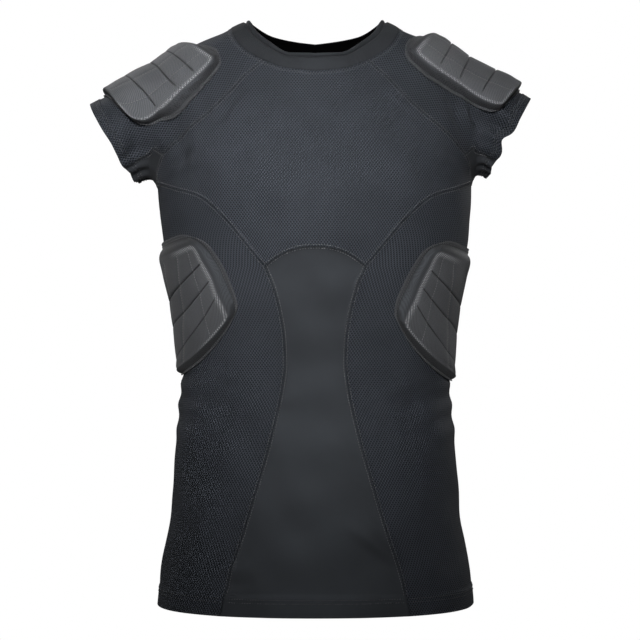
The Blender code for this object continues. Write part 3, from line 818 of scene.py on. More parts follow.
def crease_lines():
    """Every crease as the points it follows, its width and its rise."""
    t, sag = CREASE_POINTS, np.sin(np.pi * CREASE_POINTS)
    lines = []
    for side, back, x1, z1, x2, z2, bow, width, rise in zip(*CREASES.values()):
        p = at_across(x1 + (x2 - x1) * t, z1 + (z2 - z1) * t - bow * sag, bool(back))
        lines.append((on_side(p, side), width, CREASE_STRENGTH * rise))
    for side, a1, r1, a2, r2, bow, width, rise in zip(*ARM_CREASES.values()):
        p = at_arm(a1 + (a2 - a1) * t, r1 + (r2 - r1) * t - bow * sag)
        lines.append((on_side(p, side), width, rise))
    return lines


CREASE_LINES = crease_lines()


def crease_rise(p):
    """How far the creases lift the cloth at each point."""
    flat = p.reshape(-1, 3)
    total = np.zeros(len(flat))
    for line, width, rise in CREASE_LINES:
        reach = CREASE_REACH * width
        near = np.all((flat > line.min(0) - reach) & (flat < line.max(0) + reach), axis=1)
        if not near.any():
            continue
        q = flat[near]
        best = np.full(len(q), FAR)
        place = np.zeros(len(q))
        steps = len(line) - 1
        for i in range(steps):
            a, d = line[i], line[i + 1] - line[i]
            t = np.clip((q - a) @ d / (d @ d), 0, 1)
            away = np.linalg.norm(q - a - t[:, None] * d, axis=1)
            closer = away < best
            best = np.where(closer, away, best)
            place = np.where(closer, (i + t) / steps, place)
        fade = np.sin(np.pi * np.clip(place, CREASE_END, 1 - CREASE_END)) ** CREASE_FADE
        total[near] += rise * hump(best, width) * fade
    return total.reshape(p.shape[:-1])


def gather_rise(p):
    """How far the gathers under the arms lift the cloth at each point."""
    side = side_of(p)
    angle, reach = arm_place(on_left(p))
    held = ease(np.abs(angle), *GATHER_ANGLES) * ease(reach, *GATHER_REACHES) * hump(arm(p), GATHER_DEPTH)
    turn = np.radians(angle) * np.where(side > 0, GATHER_WAVES[1], GATHER_WAVES[-1])
    wave = np.sin(turn + GATHER_DRIFT * np.sin(GATHER_DRIFT_RATE * turn + side))
    wave = wave * (1 - GATHER_FADE + GATHER_FADE * np.sin(GATHER_FADE_RATE * turn))
    return GATHER_RISE * wave * held


def uneven_rise(p):
    total = np.zeros(p.shape[:-1])
    for x, y, z, phase in zip(*UNEVEN.values()):
        total += UNEVEN_RISE * np.sin(p @ np.array([x, y, z]) + phase)
    return total


def rise_of(p):
    """How far the cloth lies outside the figure at each point."""
    return fold_rise(p) + crease_rise(p) + gather_rise(p) + uneven_rise(p)


def seam_rise(p, away):
    """How far a seam lifts the cloth, by the distance from it."""
    x, y, z = np.moveaxis(p, -1, 0)
    (far_up, rate_up), (far_across, rate_across) = PUCKER_DRIFT_UP, PUCKER_DRIFT_ACROSS
    up = np.sin(PUCKER_UP * z + far_up * np.sin(rate_up * z))
    across = np.sin(PUCKER_ACROSS * x + PUCKER_IN * y + far_across * np.sin(rate_across * x))
    return SEAM_RISE * hump(away, SEAM_WIDTH) + PUCKER_RISE * up * across * hump(away, PUCKER_WIDTH)


def pulled_in(grid, edges):
    """The grid with the named edges moved in by half a seam gap."""
    grid = grid.copy()
    for edge in edges:
        line, inner = {
            "first_row": (np.s_[0], np.s_[1]),
            "last_row": (np.s_[-1], np.s_[-2]),
            "first_column": (np.s_[:, 0], np.s_[:, 1]),
            "last_column": (np.s_[:, -1], np.s_[:, -2]),
        }[edge]
        seam = unit(np.gradient(grid[line], axis=0))
        inward = grid[inner] - grid[line]
        inward -= np.sum(inward * seam, axis=-1, keepdims=True) * seam
        grid[line] += unit(inward) * SEAM_GAP / 2
    return grid


ALL_EDGES = ("first_row", "last_row", "first_column", "last_column")


def lengths(grid, axis):
    """The distance along each row or column of a grid, from its start."""
    step = np.linalg.norm(np.diff(grid, axis=axis), axis=-1)
    start = np.zeros_like(np.take(step, [0], axis=axis))
    return np.concatenate([start, np.cumsum(step, axis=axis)], axis=axis)


def edge_distance(grid, edges):
    """About how far each point of a grid lies from its nearest sewn edge."""
    down, across = lengths(grid, 0), lengths(grid, 1)
    from_edge = {
        "first_row": down,
        "last_row": down[-1:] - down,
        "first_column": across,
        "last_column": across[:, -1:] - across,
    }
    away = np.full(grid.shape[:2], FAR)
    for edge in edges:
        away = np.minimum(away, from_edge[edge])
    return away


def grid_corners(rows, columns, closed):
    """The row and column of each corner of each face of a grid."""
    steps = columns if closed else columns - 1
    r, c = np.meshgrid(np.arange(rows - 1), np.arange(steps), indexing="ij")
    corners = [np.stack([r + i, c + j], -1) for i, j in ((0, 0), (0, 1), (1, 1), (1, 0))]
    return np.stack(corners, 2).reshape(-1, 4, 2)


def rim_corners(rows, columns, closed):
    """The open edges of a grid, each as a run of rows and columns."""
    steps = columns if closed else columns - 1
    rims = [[(0, c) for c in range(steps + 1)], [(rows - 1, c) for c in range(steps, -1, -1)]]
    if not closed:
        rims.append([(r, 0) for r in range(rows - 1, -1, -1)])
        rims.append([(r, columns - 1) for r in range(rows)])
    return np.array([[a, b] for rim in rims for a, b in zip(rim, rim[1:])])


def placed(name, data):
    """A new object in the scene."""
    made = bpy.data.objects.new(name, data)
    bpy.context.scene.collection.objects.link(made)
    return made


def shell(name, outer, inner, place, materials, closed=False, marks=None):
    """A closed wall between two grids of points. place is where each point lies in the cloth, in metres,
    materials are the outside's and the inside's, and marks are named values at each outer point."""
    rows, columns = outer.shape[:2]
    under = rows * columns
    points = leaning(np.concatenate([outer.reshape(-1, 3), inner.reshape(-1, 3)]))
    index = lambda corner: corner[..., 0] * columns + corner[..., 1] % columns
    front = grid_corners(rows, columns, closed)
    back = front[:, ::-1]
    rim = rim_corners(rows, columns, closed)
    rim = np.stack([rim[:, 1], rim[:, 0], rim[:, 0], rim[:, 1]], 1)
    side = index(rim) + np.array([0, 0, under, under])
    faces = np.concatenate([index(front), index(back) + under, side])
    corners = np.concatenate([front, back, rim]).reshape(-1, 2)
    mesh = bpy.data.meshes.new(name)
    mesh.from_pydata(points, [], faces)
    mesh.uv_layers.new(name="metres").uv.foreach_set(
        "vector", place[corners[:, 0], corners[:, 1]].astype(np.float32).ravel()
    )
    for mark, values in (marks or {}).items():
        both = np.concatenate([values.ravel(), np.zeros(under)]).astype(np.float32)
        mesh.attributes.new(mark, "FLOAT", "POINT").data.foreach_set("value", both)
    for material in materials:
        mesh.materials.append(material)
    inside = np.zeros(len(faces), np.int32)
    inside[len(front) : 2 * len(front)] = len(materials) - 1
    mesh.polygons.foreach_set("material_index", inside)
    mesh.shade_smooth()
    mesh.set_sharp_from_angle(angle=np.radians(SHARP_ANGLE))
    return placed(name, mesh)


def facing_out(grid):
    """Whether the grid's rows and columns turn so that its faces point out of the figure."""
    r, c = grid.shape[0] // 2, grid.shape[1] // 2
    across = grid[r, c] - grid[r, c - 1]
    down = grid[r, c] - grid[r - 1, c]
    return np.cross(across, down) @ outward(grid[r, c]) > 0


def stands_for(piece, node):
    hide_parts(node)
    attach(piece, "root")
    return piece


def cloth_place(grid, upright):
    """Where each point lies in its cloth: the distance across, and the height or distance down."""
    across = lengths(grid, 1)
    across = across - across[:, [across.shape[1] // 2]]
    down = grid[..., 2] if upright else -lengths(grid, 0)
    return np.stack([across, down], -1)


def sleeve_place(grid):
    """Where each point lies in a sleeve's cloth: the distance round the arm, and along it."""
    p = on_left(grid)
    angle, reach = arm_place(p)
    out = np.hypot(p[..., 1] - ARM_ROOT[1], (p - ARM_ROOT) @ ARM_UP)
    return np.stack([np.radians(np.abs(angle) - 90) * out, -reach], -1)


def cloth(name, grid, materials, slot, turned=0, place=None):
    """A panel with its seams and creases. turned is how many of its last rows are a turned edge, which
    isn't sewn to a neighbour."""
    grid = pulled_in(grid, ALL_EDGES)
    if not facing_out(grid):
        grid = grid[:, ::-1]
    n = outward(grid)
    away = edge_distance(grid, [edge for edge in ALL_EDGES if not (turned and edge == "last_row")])
    rise = rise_of(grid) + seam_rise(grid, away)
    middle = grid + n * rise[..., None]
    thick = np.full((len(grid), 1, 1), CLOTH_THICK)
    thick[len(grid) - turned :] = HEM_THICK
    outer, inner = middle + n * (thick - CLOTH_THICK / 2), middle - n * CLOTH_THICK / 2
    marks = {"seam": hump(away, SEAM_LINE)}
    place = cloth_place(grid, True) if place is None else place(grid)
    made = shell(name, outer, inner, place, materials, marks=marks)
    stands_for(made, name.removesuffix("_cloth"))
    return made, grid


def seam_points():
    """The points that panels share along their seams, on the wearer's left side."""
    above = shares(RAGLAN_STEPS) * GUSSET_START
    below = GUSSET_START + shares(ARMPIT_STEPS)[1:] * (1 - GUSSET_START)
    raglan_t = np.concatenate([above, below])
    points = {"raglan_front": raglan(raglan_t), "raglan_back": raglan(raglan_t, back=True)}
    points["chest_side"] = at_across(*along(CHEST_SIDE, shares(CHEST_STEPS)))
    points["chest_side"][0] = points["raglan_front"][-1]
    points["belly_side"] = belly_seam()
    points["belly_side"][0] = points["chest_side"][-1]
    points["side_front"] = np.concatenate([points["chest_side"], points["belly_side"][1:]])
    height = points["side_front"][:, 2]
    across = smooth(BACK_SIDE["height"], BACK_SIDE["across"], height)
    points["side_back"] = at_across(across, height, back=True)
    points["side_back"][0] = points["raglan_back"][-1]
    return points


def belly_seam():
    """The seam down the front panel's side, to the hem."""
    fold = HEM_Z + HEM_TALL
    above = np.linspace(BELLY_SIDE["height"][0], fold + HEM_STEP, BELLY_STEPS + 1)
    heights = np.concatenate([above, np.linspace(fold, HEM_Z, HEM_ROWS)])
    return at_across(smooth(-BELLY_SIDE["height"], BELLY_SIDE["across"], -heights), heights)


def across_panel(edge, top, bottom):
    """Rows from one side of the shirt to the other, between an edge and its mirror. top and bottom are
    the first and last row's height above its own ends, at each column."""
    rows, columns = len(edge), len(top)
    u = np.linspace(-1, 1, columns)
    v = np.linspace(0, 1, rows)[:, None]
    z = edge[:, 2:3] + (1 - v) * top + v * bottom
    angle = angle_of(edge)[:, None]
    back = angle > 90
    angle = np.where(back, 180 - (180 - angle) * np.abs(u), angle * np.abs(u)) * np.where(u < 0, -1, 1)
    grid = at_angle(angle, z)
    grid[:, -1] = edge
    grid[:, 0] = mirrored(edge)
    return grid


def arch_row(columns):
    u = np.abs(np.linspace(-1, 1, columns))
    return ARCH_RISE * (1 - u**ARCH_POWER)


def collar_row(columns, angle):
    """The collar seam's height above its point at the raglan seam, across the front or the back."""
    u = np.abs(np.linspace(-1, 1, columns))
    away = angle * u if angle < 90 else 180 - (180 - angle) * u
    height = smooth(COLLAR_SEAM["angle"], COLLAR_SEAM["height"], away)
    return height - height[0]


def chest_grid(points):
    edge = np.concatenate([points["raglan_front"], points["chest_side"][1:]])
    columns = CHEST_COLUMNS + 1
    return across_panel(edge, collar_row(columns, RAGLAN_FRONT_ANGLE), arch_row(columns))


def belly_grid(points):
    columns = CHEST_COLUMNS + 1
    return across_panel(points["belly_side"], arch_row(columns), np.zeros(columns))


def back_grid(points):
    edge = np.concatenate([points["raglan_back"], points["side_back"][1:]])
    columns = BACK_COLUMNS + 1
    return across_panel(edge, collar_row(columns, RAGLAN_BACK_ANGLE), np.zeros(columns))


def side_grid(points):
    front, back = points["side_front"], points["side_back"]
    u = np.linspace(0, 1, SIDE_COLUMNS + 1)
    angle = angle_of(front)[:, None] * (1 - u) + angle_of(back)[:, None] * u
    z = front[:, 2:3] * (1 - u) + back[:, 2:3] * u
    grid = at_angle(angle, z)
    grid[:, 0], grid[:, -1] = front, back
    return grid


def gusset_edge(corner, angle):
    """The seam from a raglan seam to the cuff, round the front or the back of the arm."""
    start_angle, start_reach = arm_place(corner)
    length = CUFF_REACH - start_reach
    t = shares(CUFF_STEPS) * (1 - (CUFF_TALL + HEM_STEP) / length)
    edge_t = np.linspace(1 - CUFF_TALL / length, 1, CUFF_EDGE_STEPS)
    t = np.concatenate([t, edge_t])
    end = at_cuff(np.array(angle))
    away, reach = arm_place(end)
    turned = 1 - (1 - t) ** GUSSET_BEND
    edge = at_arm(start_angle + (away - start_angle) * turned, start_reach + (reach - start_reach) * t)
    edge[0] = corner
    return edge


def sleeve_grid(points):
    u = np.linspace(0, 1, SLEEVE_COLUMNS + 1)
    front = np.concatenate([points["raglan_front"][: RAGLAN_STEPS + 1], points["gusset_front"][1:]])
    back = np.concatenate([points["raglan_back"][: RAGLAN_STEPS + 1], points["gusset_back"][1:]])
    neck = collar_seam(RAGLAN_FRONT_ANGLE + (RAGLAN_BACK_ANGLE - RAGLAN_FRONT_ANGLE) * u)
    neck_angle, neck_reach = arm_place(neck)
    rows = len(front)
    grid = np.empty((rows, len(u), 3))
    front_angle, front_reach = arm_place(front)
    back_angle, back_reach = arm_place(back)
    for r in range(rows):
        v = r / (rows - 1)
        angle = front_angle[r] * (1 - u) + back_angle[r] * u
        ends = front_reach[r] * (1 - u) + back_reach[r] * u
        neck_ends = neck_reach[0] * (1 - u) + neck_reach[-1] * u
        angle = angle + (1 - v) * (neck_angle - neck_angle[0] * (1 - u) - neck_angle[-1] * u)
        grid[r] = at_arm(angle, ends + (1 - v) * (neck_reach - neck_ends))
    grid[:, 0], grid[:, -1] = front, back
    grid[0] = neck
    return grid


def gusset_grid(points, side):
    """From the armpit out to the cuff, under the arm."""
    front_end, back_end = (points[name][RAGLAN_STEPS:-1] for name in ("raglan_front", "raglan_back"))
    inner = np.concatenate([front_end, side[0], back_end[::-1]])
    front, back = points["gusset_front"], points["gusset_back"]
    u = np.linspace(0, 1, len(inner))
    cuff = at_cuff(GUSSET_ANGLE + (360 - 2 * GUSSET_ANGLE) * u)
    reach = arm_place(front)[1]
    v = ((reach - reach[0]) / (reach[-1] - reach[0]))[:, None, None]
    along_arm = inner * (1 - v) + cuff * v
    ends = front[:, None] * (1 - u[:, None]) + back[:, None] * u[:, None]
    corners = ends[0] * (1 - v) + ends[-1] * v
    grid = settle(along_arm + (ends - corners))
    grid[0], grid[-1] = inner, cuff
    grid[:, 0], grid[:, -1] = front, back
    return grid


def neck_ring(chest, sleeve, back):
    """The points round the neck that the collar shares with the panels it is sewn to."""
    other = mirrored(sleeve)
    return np.concatenate([chest[0, :-1], sleeve[0, :-1], back[0, ::-1][:-1], other[0, ::-1][:-1]])


def collar(points_round, materials):
    """The band round the neck, from the seam up to its folded edge."""
    angle = np.abs(angle_of(points_round))
    radius = smooth(COLLAR_TOP["angle"], COLLAR_TOP["radius"], angle)
    height = smooth(COLLAR_TOP["angle"], COLLAR_TOP["height"], angle)
    turn = np.radians(angle_of(points_round))
    top = np.stack([np.sin(turn) * radius, -np.cos(turn) * radius, height], -1)
    v = shares(COLLAR_ROWS)[:, None, None]
    side = np.stack([np.sin(turn), -np.cos(turn), 0 * turn], -1)
    grid = points_round * (1 - v) + top * v + side * COLLAR_SWELL * np.sin(np.pi * v)
    n = unit(np.cross(np.roll(grid, -1, 1) - np.roll(grid, 1, 1), np.gradient(grid, axis=0)))
    n[0] = outward(points_round)
    grid = pulled_in(grid, ("first_row",))
    low = rise_of(points_round) + seam_rise(points_round, np.zeros(len(points_round)))
    rise = low[None, :, None] * (1 - v) ** 2
    crease = hump(v - COLLAR_CREASE, COLLAR_CREASE_HALF)
    waver = COLLAR_WAVER * np.sin(COLLAR_WAVES * turn + 1)[None, :, None] * v
    over = np.maximum(v - COLLAR_TURN, 0) / (1 - COLLAR_TURN)
    turned = np.sqrt(np.clip(1 - over**2, COLLAR_TURN_LEAST, 1))
    thick = (CLOTH_THICK + (COLLAR_THICK - CLOTH_THICK) * v) * turned
    outer = grid + n * (rise + waver + thick / 2 - COLLAR_CREASE_DEEP * crease)
    inner = grid + n * (rise + waver - thick / 2)
    around = np.concatenate([grid, grid[:, :1]], 1)
    place = np.stack([lengths(around, 1), lengths(around, 0)], -1)
    tuck = -unit(grid[1] - grid[0]) * COLLAR_TUCK - n[0] * COLLAR_UNDER
    outer, inner = (np.concatenate([wall[:1] + tuck, wall]) for wall in (outer, inner))
    place = np.concatenate([place[:1] - np.array([0, COLLAR_TUCK]), place])
    # The dark seam line at the collar's foot, and painted shade along its crease, both carried by the seam
    # mark
    seam_line_and_crease_shade = np.maximum(hump(lengths(grid, 0), SEAM_LINE), crease[..., 0])
    marks = {"seam": np.concatenate([seam_line_and_crease_shade[:1], seam_line_and_crease_shade])}
    made = shell("collar_cloth", outer, inner, place, materials, closed=True, marks=marks)
    return stands_for(made, "collar"), grid


def pad_grid(rows, kind, place, shift, u, v):
    """Points of the figure under a pad, and its outward direction there."""
    row = {name: smooth(rows["share"], values, v) for name, values in rows.items()}
    lean = 1 - (1 - u) ** kind.bend
    angle = row["front_angle"] + (row["back_angle"] - row["front_angle"]) * u + shift[0]
    spot = row["front_place"] + (row["back_place"] - row["front_place"]) * lean + shift[1]
    grid = place(angle, spot)
    return grid, outward(grid)


def pad_steps(steps):
    """Places across a pad from edge to edge, close together where its sides rise."""
    flange = np.linspace(0, FLANGE_END, FLANGE_POINTS)
    edge = np.concatenate([flange, np.linspace(FLANGE_END, CROWN_END, WALL_POINTS)[1:]])
    top = np.linspace(CROWN_END, 1 - CROWN_END, steps + 1)[1:-1]
    return np.concatenate([edge, top, 1 - edge[::-1]])


def rounded(u, v):
    """Places on a pad with the corners of its outline drawn in."""
    s, t = 2 * u[None, :] - 1, 2 * v[:, None] - 1
    drawn = 1 - CORNER_PULL * np.abs(s * t) ** CORNER_POWER
    return (1 + s * drawn) / 2, (1 + t * drawn) / 2


def pad_wall(inset):
    """How much of the pad's full height its side has reached, by the share that it lies in from the edge."""
    t = np.clip((inset - FLANGE_END) / (CROWN_END - FLANGE_END), 0, 1)
    return (1 - (1 - t) ** WALL_STEEP) ** (1 / WALL_ROUND)


def overhung(t, first, last):
    """Places across a pad's top, moved out over its two edges, or in from them by a negative share."""
    inset = np.minimum(t, 1 - t)
    out = pad_wall(inset) * (1 - ease(inset, CROWN_END, OVERHANG_FADE))
    return t + np.where(t < 0.5, -first * out, last * out)


def pad_inset(u, v):
    """How far in from a pad's edge each place is, as a share of its width, with soft corners."""
    a, b = np.minimum(u, 1 - u)[None, :], np.minimum(v, 1 - v)[:, None]
    soft = -np.log(np.exp(-CORNER_SOFT * a) + np.exp(-CORNER_SOFT * b)) / CORNER_SOFT
    nearest = np.minimum(a, b)
    return np.minimum(nearest, np.maximum(soft, 0) + np.minimum(nearest, CORNER_REACH))


def pad_height(kind, u, v):
    """The height of a pad above its base, and how much of each mark its cover has there."""
    inset = pad_inset(u, v)
    a, b = np.minimum(u, 1 - u)[None, :], np.minimum(v, 1 - v)[:, None]
    # How far each place lies in a groove: the top sinks there, and the cover is painted with shade there
    slit = np.zeros_like(inset)
    for groove in kind.grooves:
        away = np.clip(np.abs(v - groove) / GROOVE_HALF, 0, 1)[:, None]
        slit = np.maximum(slit, 1 - away**GROOVE_ROUND)
    start = kind.groove_start
    slit = slit * ease(a, start - GROOVE_SOFT, start + GROOVE_SOFT) * ease(b, *GROOVE_ENDS)
    line = np.zeros_like(inset)
    for first, last in kind.quilts:
        middle = first + (last - first) * v[:, None]
        line = np.maximum(line, hump(u[None, :] - middle, QUILT_HALF))
    line = line * ease(inset, CROWN_END - QUILT_BEFORE, CROWN_END + QUILT_AFTER)
    stops = np.array([CROWN_END, *kind.grooves, 1 - CROWN_END])
    i = np.clip(np.searchsorted(stops, v) - 1, 0, len(stops) - 2)
    block = np.clip((v - stops[i]) / (stops[i + 1] - stops[i]), 0, 1)
    crown = BLOCK_CROWN * (4 * block * (1 - block))[:, None] * ease(inset, CROWN_END, 2 * CROWN_END)
    tall = PAD_FLANGE + (kind.tall - PAD_FLANGE) * pad_wall(inset) + crown
    tall = tall - GROOVE_DEEP * slit - QUILT_DEEP * line * (1 - slit)
    # Painted highlight: where the crown's edge catches the light, most on the front
    painted_glint = ease(inset, *GLINT_FROM) * (1 - ease(inset, *GLINT_TO)) * ease(0.5 - u, *GLINT_FRONT)[None, :]
    # Painted shade down the pad's sewn edge and wall
    side = 1 - ease(inset, *WALL_SHADE)
    rim = 1 - ease(inset, *RIM_PALE)
    return tall, {"slit": slit, "painted_glint": painted_glint, "side": side, "rim": rim}


def pad(name, rows, kind, place, shift, side, material):
    """A foam pad: a sewn edge, a steep wall, and a quilted top cut across by grooves."""
    u, v = pad_steps(PAD_COLUMNS), pad_steps(PAD_ROWS)
    for groove in kind.grooves:
        v = v[np.abs(v - groove) > GROOVE_HALF * GROOVE_CLEAR]
    v = np.sort(np.concatenate([v] + [groove + GROOVE_PROFILE * GROOVE_HALF for groove in kind.grooves]))
    tall, marks = pad_height(kind, u, v)
    over = kind.overhang
    layers = []
    for across, down in ((u, v), (overhung(u, *over[:2]), overhung(v, *over[2:]))):
        grid, n = pad_grid(rows, kind, place, shift, *rounded(across, down))
        grid, n = on_side(grid, side), on_side(n, side)
        lift = CLOTH_THICK / 2 + PAD_GAP + fold_rise(grid) + uneven_rise(grid)
        layers.append(grid + n * lift[..., None])
    base, top = layers[0], layers[1] + n * tall[..., None]
    edges, lines = pad_stitches(kind, u, v, top, n)
    r, c = len(v) // 2, len(u) // 2
    across, down = base[r, c] - base[r, c - 1], base[r, c] - base[r - 1, c]
    if np.cross(across, down) @ (top - base)[r, c] < 0:
        base, top = base[:, ::-1], top[:, ::-1]
        marks = {mark: values[:, ::-1] for mark, values in marks.items()}
    made = shell(name + "_cover", top, base, cloth_place(base, False), (material,), marks=marks)
    stands_for(made, name)
    return edges, lines


def pad_stitches(kind, u, v, top, n):
    """The rows of stitches on a pad: those round its sewn edge, and those along the quilting."""
    runs = []
    t = shares(PAD_STITCH_STEPS)
    one = np.ones(len(t))
    for low in PAD_EDGE_ROWS:
        high = 1 - low
        way = low + (high - low) * t
        across = [way, high * one, way[::-1], low * one]
        down = [low * one, way, high * one, way[::-1]]
        runs.append((np.concatenate(across), np.concatenate(down)))
    down = CROWN_END + (1 - 2 * CROWN_END) * t
    runs += [(first + (last - first) * down, down) for first, last in kind.quilts]
    made = [(sampled(top, u, v, *run), sampled(n, u, v, *run)) for run in runs]
    return made[: len(PAD_EDGE_ROWS)], made[len(PAD_EDGE_ROWS) :]


def sampled(values, u, v, us, vs):
    """A grid's values at the given places, between its points."""
    c = np.clip(np.searchsorted(u, us) - 1, 0, len(u) - 2)
    r = np.clip(np.searchsorted(v, vs) - 1, 0, len(v) - 2)
    a = ((us - u[c]) / (u[c + 1] - u[c]))[:, None]
    b = ((vs - v[r]) / (v[r + 1] - v[r]))[:, None]
    near = values[r, c] * (1 - a) + values[r, c + 1] * a
    far = values[r + 1, c] * (1 - a) + values[r + 1, c + 1] * a
    return near * (1 - b) + far * b


def seam_rows(line, away=(-SEAM_STITCH_AWAY, SEAM_STITCH_AWAY), lift=0.0):
    """Rows of stitches beside a seam, as points on the cloth and its outward direction."""
    beside = np.cross(outward(line), unit(np.gradient(line, axis=0)))
    rows = []
    for distance in away:
        p = settle(line + beside * distance)
        up = outward(p)
        rise = rise_of(p) + seam_rise(p, np.full(len(p), abs(distance))) + CLOTH_THICK / 2 + lift
        rows.append((p + up * rise[:, None], up))
    return rows


def read_along(length, values, at):
    """A line's values at the given distances along it."""
    return np.stack([np.interp(at, length, column) for column in values.T], -1)


def stitches(name, rows, material):
    """Short raised threads along every row, joined into one piece."""
    centres, aheads, ups = [], [], []
    for points, up in rows:
        length = lengths(points, 0)
        count = max(int(length[-1] / STITCH_PITCH), 2)
        at = (np.arange(count) + 0.5) * length[-1] / count
        centres.append(read_along(length, points, at))
        ups.append(read_along(length, up, at))
        aheads.append(read_along(length, np.gradient(points, axis=0), at))
    centre, ahead, up = (np.concatenate(parts) for parts in (centres, aheads, ups))
    ahead = unit(ahead)
    beside = np.cross(up, ahead)
    half, inner = STITCH_LONG / 2, STITCH_LONG / 4
    corners = [(-half, 0, -STITCH_END_DIP)]
    for place in (-inner, inner):
        corners += [(place, 1, 0), (place, 0, 1), (place, -1, 0), (place, 0, -STITCH_DIP)]
    corners.append((half, 0, -STITCH_END_DIP))
    points = [
        centre + ahead * a + beside * (b * STITCH_WIDE / 2) + up * (c * STITCH_TALL)
        for a, b, c in corners
    ]
    points = leaning(np.stack(points, 1).reshape(-1, 3))
    faces = []
    for i in range(4):
        j = (i + 1) % 4
        faces += [(0, 1 + j, 1 + i), (1 + i, 1 + j, 5 + j, 5 + i), (9, 5 + i, 5 + j)]
    made = bpy.data.meshes.new(name)
    every = [tuple(i + len(corners) * k for i in face) for k in range(len(centre)) for face in faces]
    made.from_pydata(points, [], every)
    made.materials.append(material)
    made.shade_smooth()
    piece = placed(name, made)
    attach(piece, "root")


def fill(tree, socket, value):
    """A node's input, linked or filled in."""
    if isinstance(value, bpy.types.NodeSocket):
        tree.links.new(value, socket)
    else:
        socket.default_value = value


def node(tree, kind, inputs=None, **settings):
    """A shader node with its settings made and its inputs linked or filled in."""
    made = tree.nodes.new("ShaderNode" + kind)
    for name, value in settings.items():
        setattr(made, name, value)
    for name, value in (inputs or {}).items():
        fill(tree, made.inputs[name], value)
    return made


def maths(tree, operation, *values):
    return node(tree, "Math", dict(enumerate(values)), operation=operation).outputs[0]


def ramp(tree, value, low, high):
    """A soft step from 0 at low to 1 at high."""
    inputs = {"Value": value, "From Min": low, "From Max": high}
    return node(tree, "MapRange", inputs, interpolation_type="SMOOTHSTEP").outputs["Result"]


def mixed(tree, share, first, second):
    """The first colour, and the second by its share. The numbers are the colour mix's own sockets."""
    made = node(tree, "Mix", data_type="RGBA")
    for socket, value in ((0, share), (6, first), (7, second)):
        fill(tree, made.inputs[socket], (*value, 1) if isinstance(value, tuple) else value)
    return made.outputs[2]


def scaled(colour, share):
    return tuple(c * share for c in colour)


def less(tree, value, share):
    return maths(tree, "MULTIPLY", value, share)


def mark(tree, name):
    return node(tree, "Attribute", attribute_name=name).outputs["Fac"]


def new_material(name, inputs):
    """A material with its shader's inputs filled in, and its node tree and shader."""
    material = bpy.data.materials.new(name)
    material.use_nodes = True
    shader = material.node_tree.nodes["Principled BSDF"]
    for socket, value in inputs.items():
        shader.inputs[socket].default_value = value
    return material, material.node_tree, shader


def relief(tree, shader, height, distance, strength):
    made = node(tree, "Bump", {"Height": height, "Distance": distance, "Strength": strength})
    tree.links.new(made.outputs["Normal"], shader.inputs["Normal"])


def from_dot(tree, pitch_across, pitch_down):
    """How far each place lies from the nearest hole of a net whose rows are set half a step apart."""
    place = node(tree, "UVMap", uv_map="metres").outputs["UV"]
    parts = node(tree, "SeparateXYZ", {"Vector": place})
    both = []
    for shift in (0, 0.5):
        squares = []
        for axis, pitch in (("X", pitch_across), ("Y", pitch_down)):
            away = maths(tree, "ADD", parts.outputs[axis], shift * pitch)
            away = maths(tree, "WRAP", away, pitch / 2, -pitch / 2)
            squares.append(maths(tree, "MULTIPLY", away, away))
        both.append(maths(tree, "SQRT", maths(tree, "ADD", *squares)))
    return maths(tree, "MINIMUM", *both)


def cloth_material(name, yarn, hole, net, roughness, sheen, bump, shine=SHINE):
    """A knitted cloth."""
    inputs = {
        "Roughness": roughness,
        "Specular IOR Level": shine,
        "Specular Tint": SHINE_TINT,
        "Sheen Weight": sheen,
        "Sheen Roughness": SHEEN_ROUGH,
    }
    material, tree, shader = new_material(name, inputs)
    pitch_across, pitch_down, radius = net
    away = from_dot(tree, pitch_across, pitch_down)
    soft_from, soft_to = HOLE_SOFT
    open_share = maths(tree, "SUBTRACT", 1, ramp(tree, away, radius * soft_from, radius * soft_to))
    world = node(tree, "TexCoord").outputs["Object"]
    slow = node(tree, "TexNoise", {"Vector": world, **SLOW_NOISE}).outputs["Fac"]
    fine = node(tree, "TexNoise", {"Vector": world, **FINE_NOISE}).outputs["Fac"]
    dye = ramp(tree, slow, *DYE_RANGE)
    shade = mixed(tree, dye, scaled(yarn, 1 - DYE_UNEVEN), scaled(yarn, 1 + DYE_UNEVEN))
    fuzz = mixed(tree, less(tree, fine, FIBRE_SHARE), shade, scaled(yarn, FIBRE_PALE))
    colour = mixed(tree, open_share, fuzz, hole)
    # Darker along seams, and on the collar painted shade along its crease
    colour = mixed(tree, less(tree, mark(tree, "seam"), SEAM_AND_CREASE_SHADE_SHARE), colour, scaled(yarn, SEAM_AND_CREASE_SHADE))
    tree.links.new(colour, shader.inputs["Base Color"])
    height = maths(tree, "SUBTRACT", less(tree, fine, FIBRE_RISE), open_share)
    relief(tree, shader, height, bump, KNIT_STRENGTH)
    return material


def pad_material(name, yarn, hole):
    """The pads' fine net cover, with a painted highlight where the net glints over the crown's edge, and
    painted shade down the sides and in the grooves.
    """
    material = cloth_material(name, yarn, hole, **PAD_KNIT)
    tree = material.node_tree
    base = tree.nodes["Principled BSDF"].inputs["Base Color"]
    # Painted highlight: pale dots of the net where the crown's edge catches the light
    dots = maths(tree, "SUBTRACT", 1, ramp(tree, from_dot(tree, *GLINT_NET), *GLINT_DOT))
    painted_glint = less(tree, maths(tree, "MULTIPLY", mark(tree, "painted_glint"), dots), GLINT_SHARE)
    colour = mixed(tree, painted_glint, base.links[0].from_socket, GLINT_COLOUR)
    # Painted shade down the wall, towards the holes' colour
    colour = mixed(tree, less(tree, mark(tree, "side"), WALL_SHADE_SHARE), colour, hole)
    colour = mixed(tree, mark(tree, "rim"), colour, RIM_COLOUR)
    # Painted shade in the grooves
    colour = mixed(tree, less(tree, mark(tree, "slit"), GROOVE_SHADE_SHARE), colour, GROOVE_SHADE_COLOUR)
    tree.links.new(colour, base)
    return material


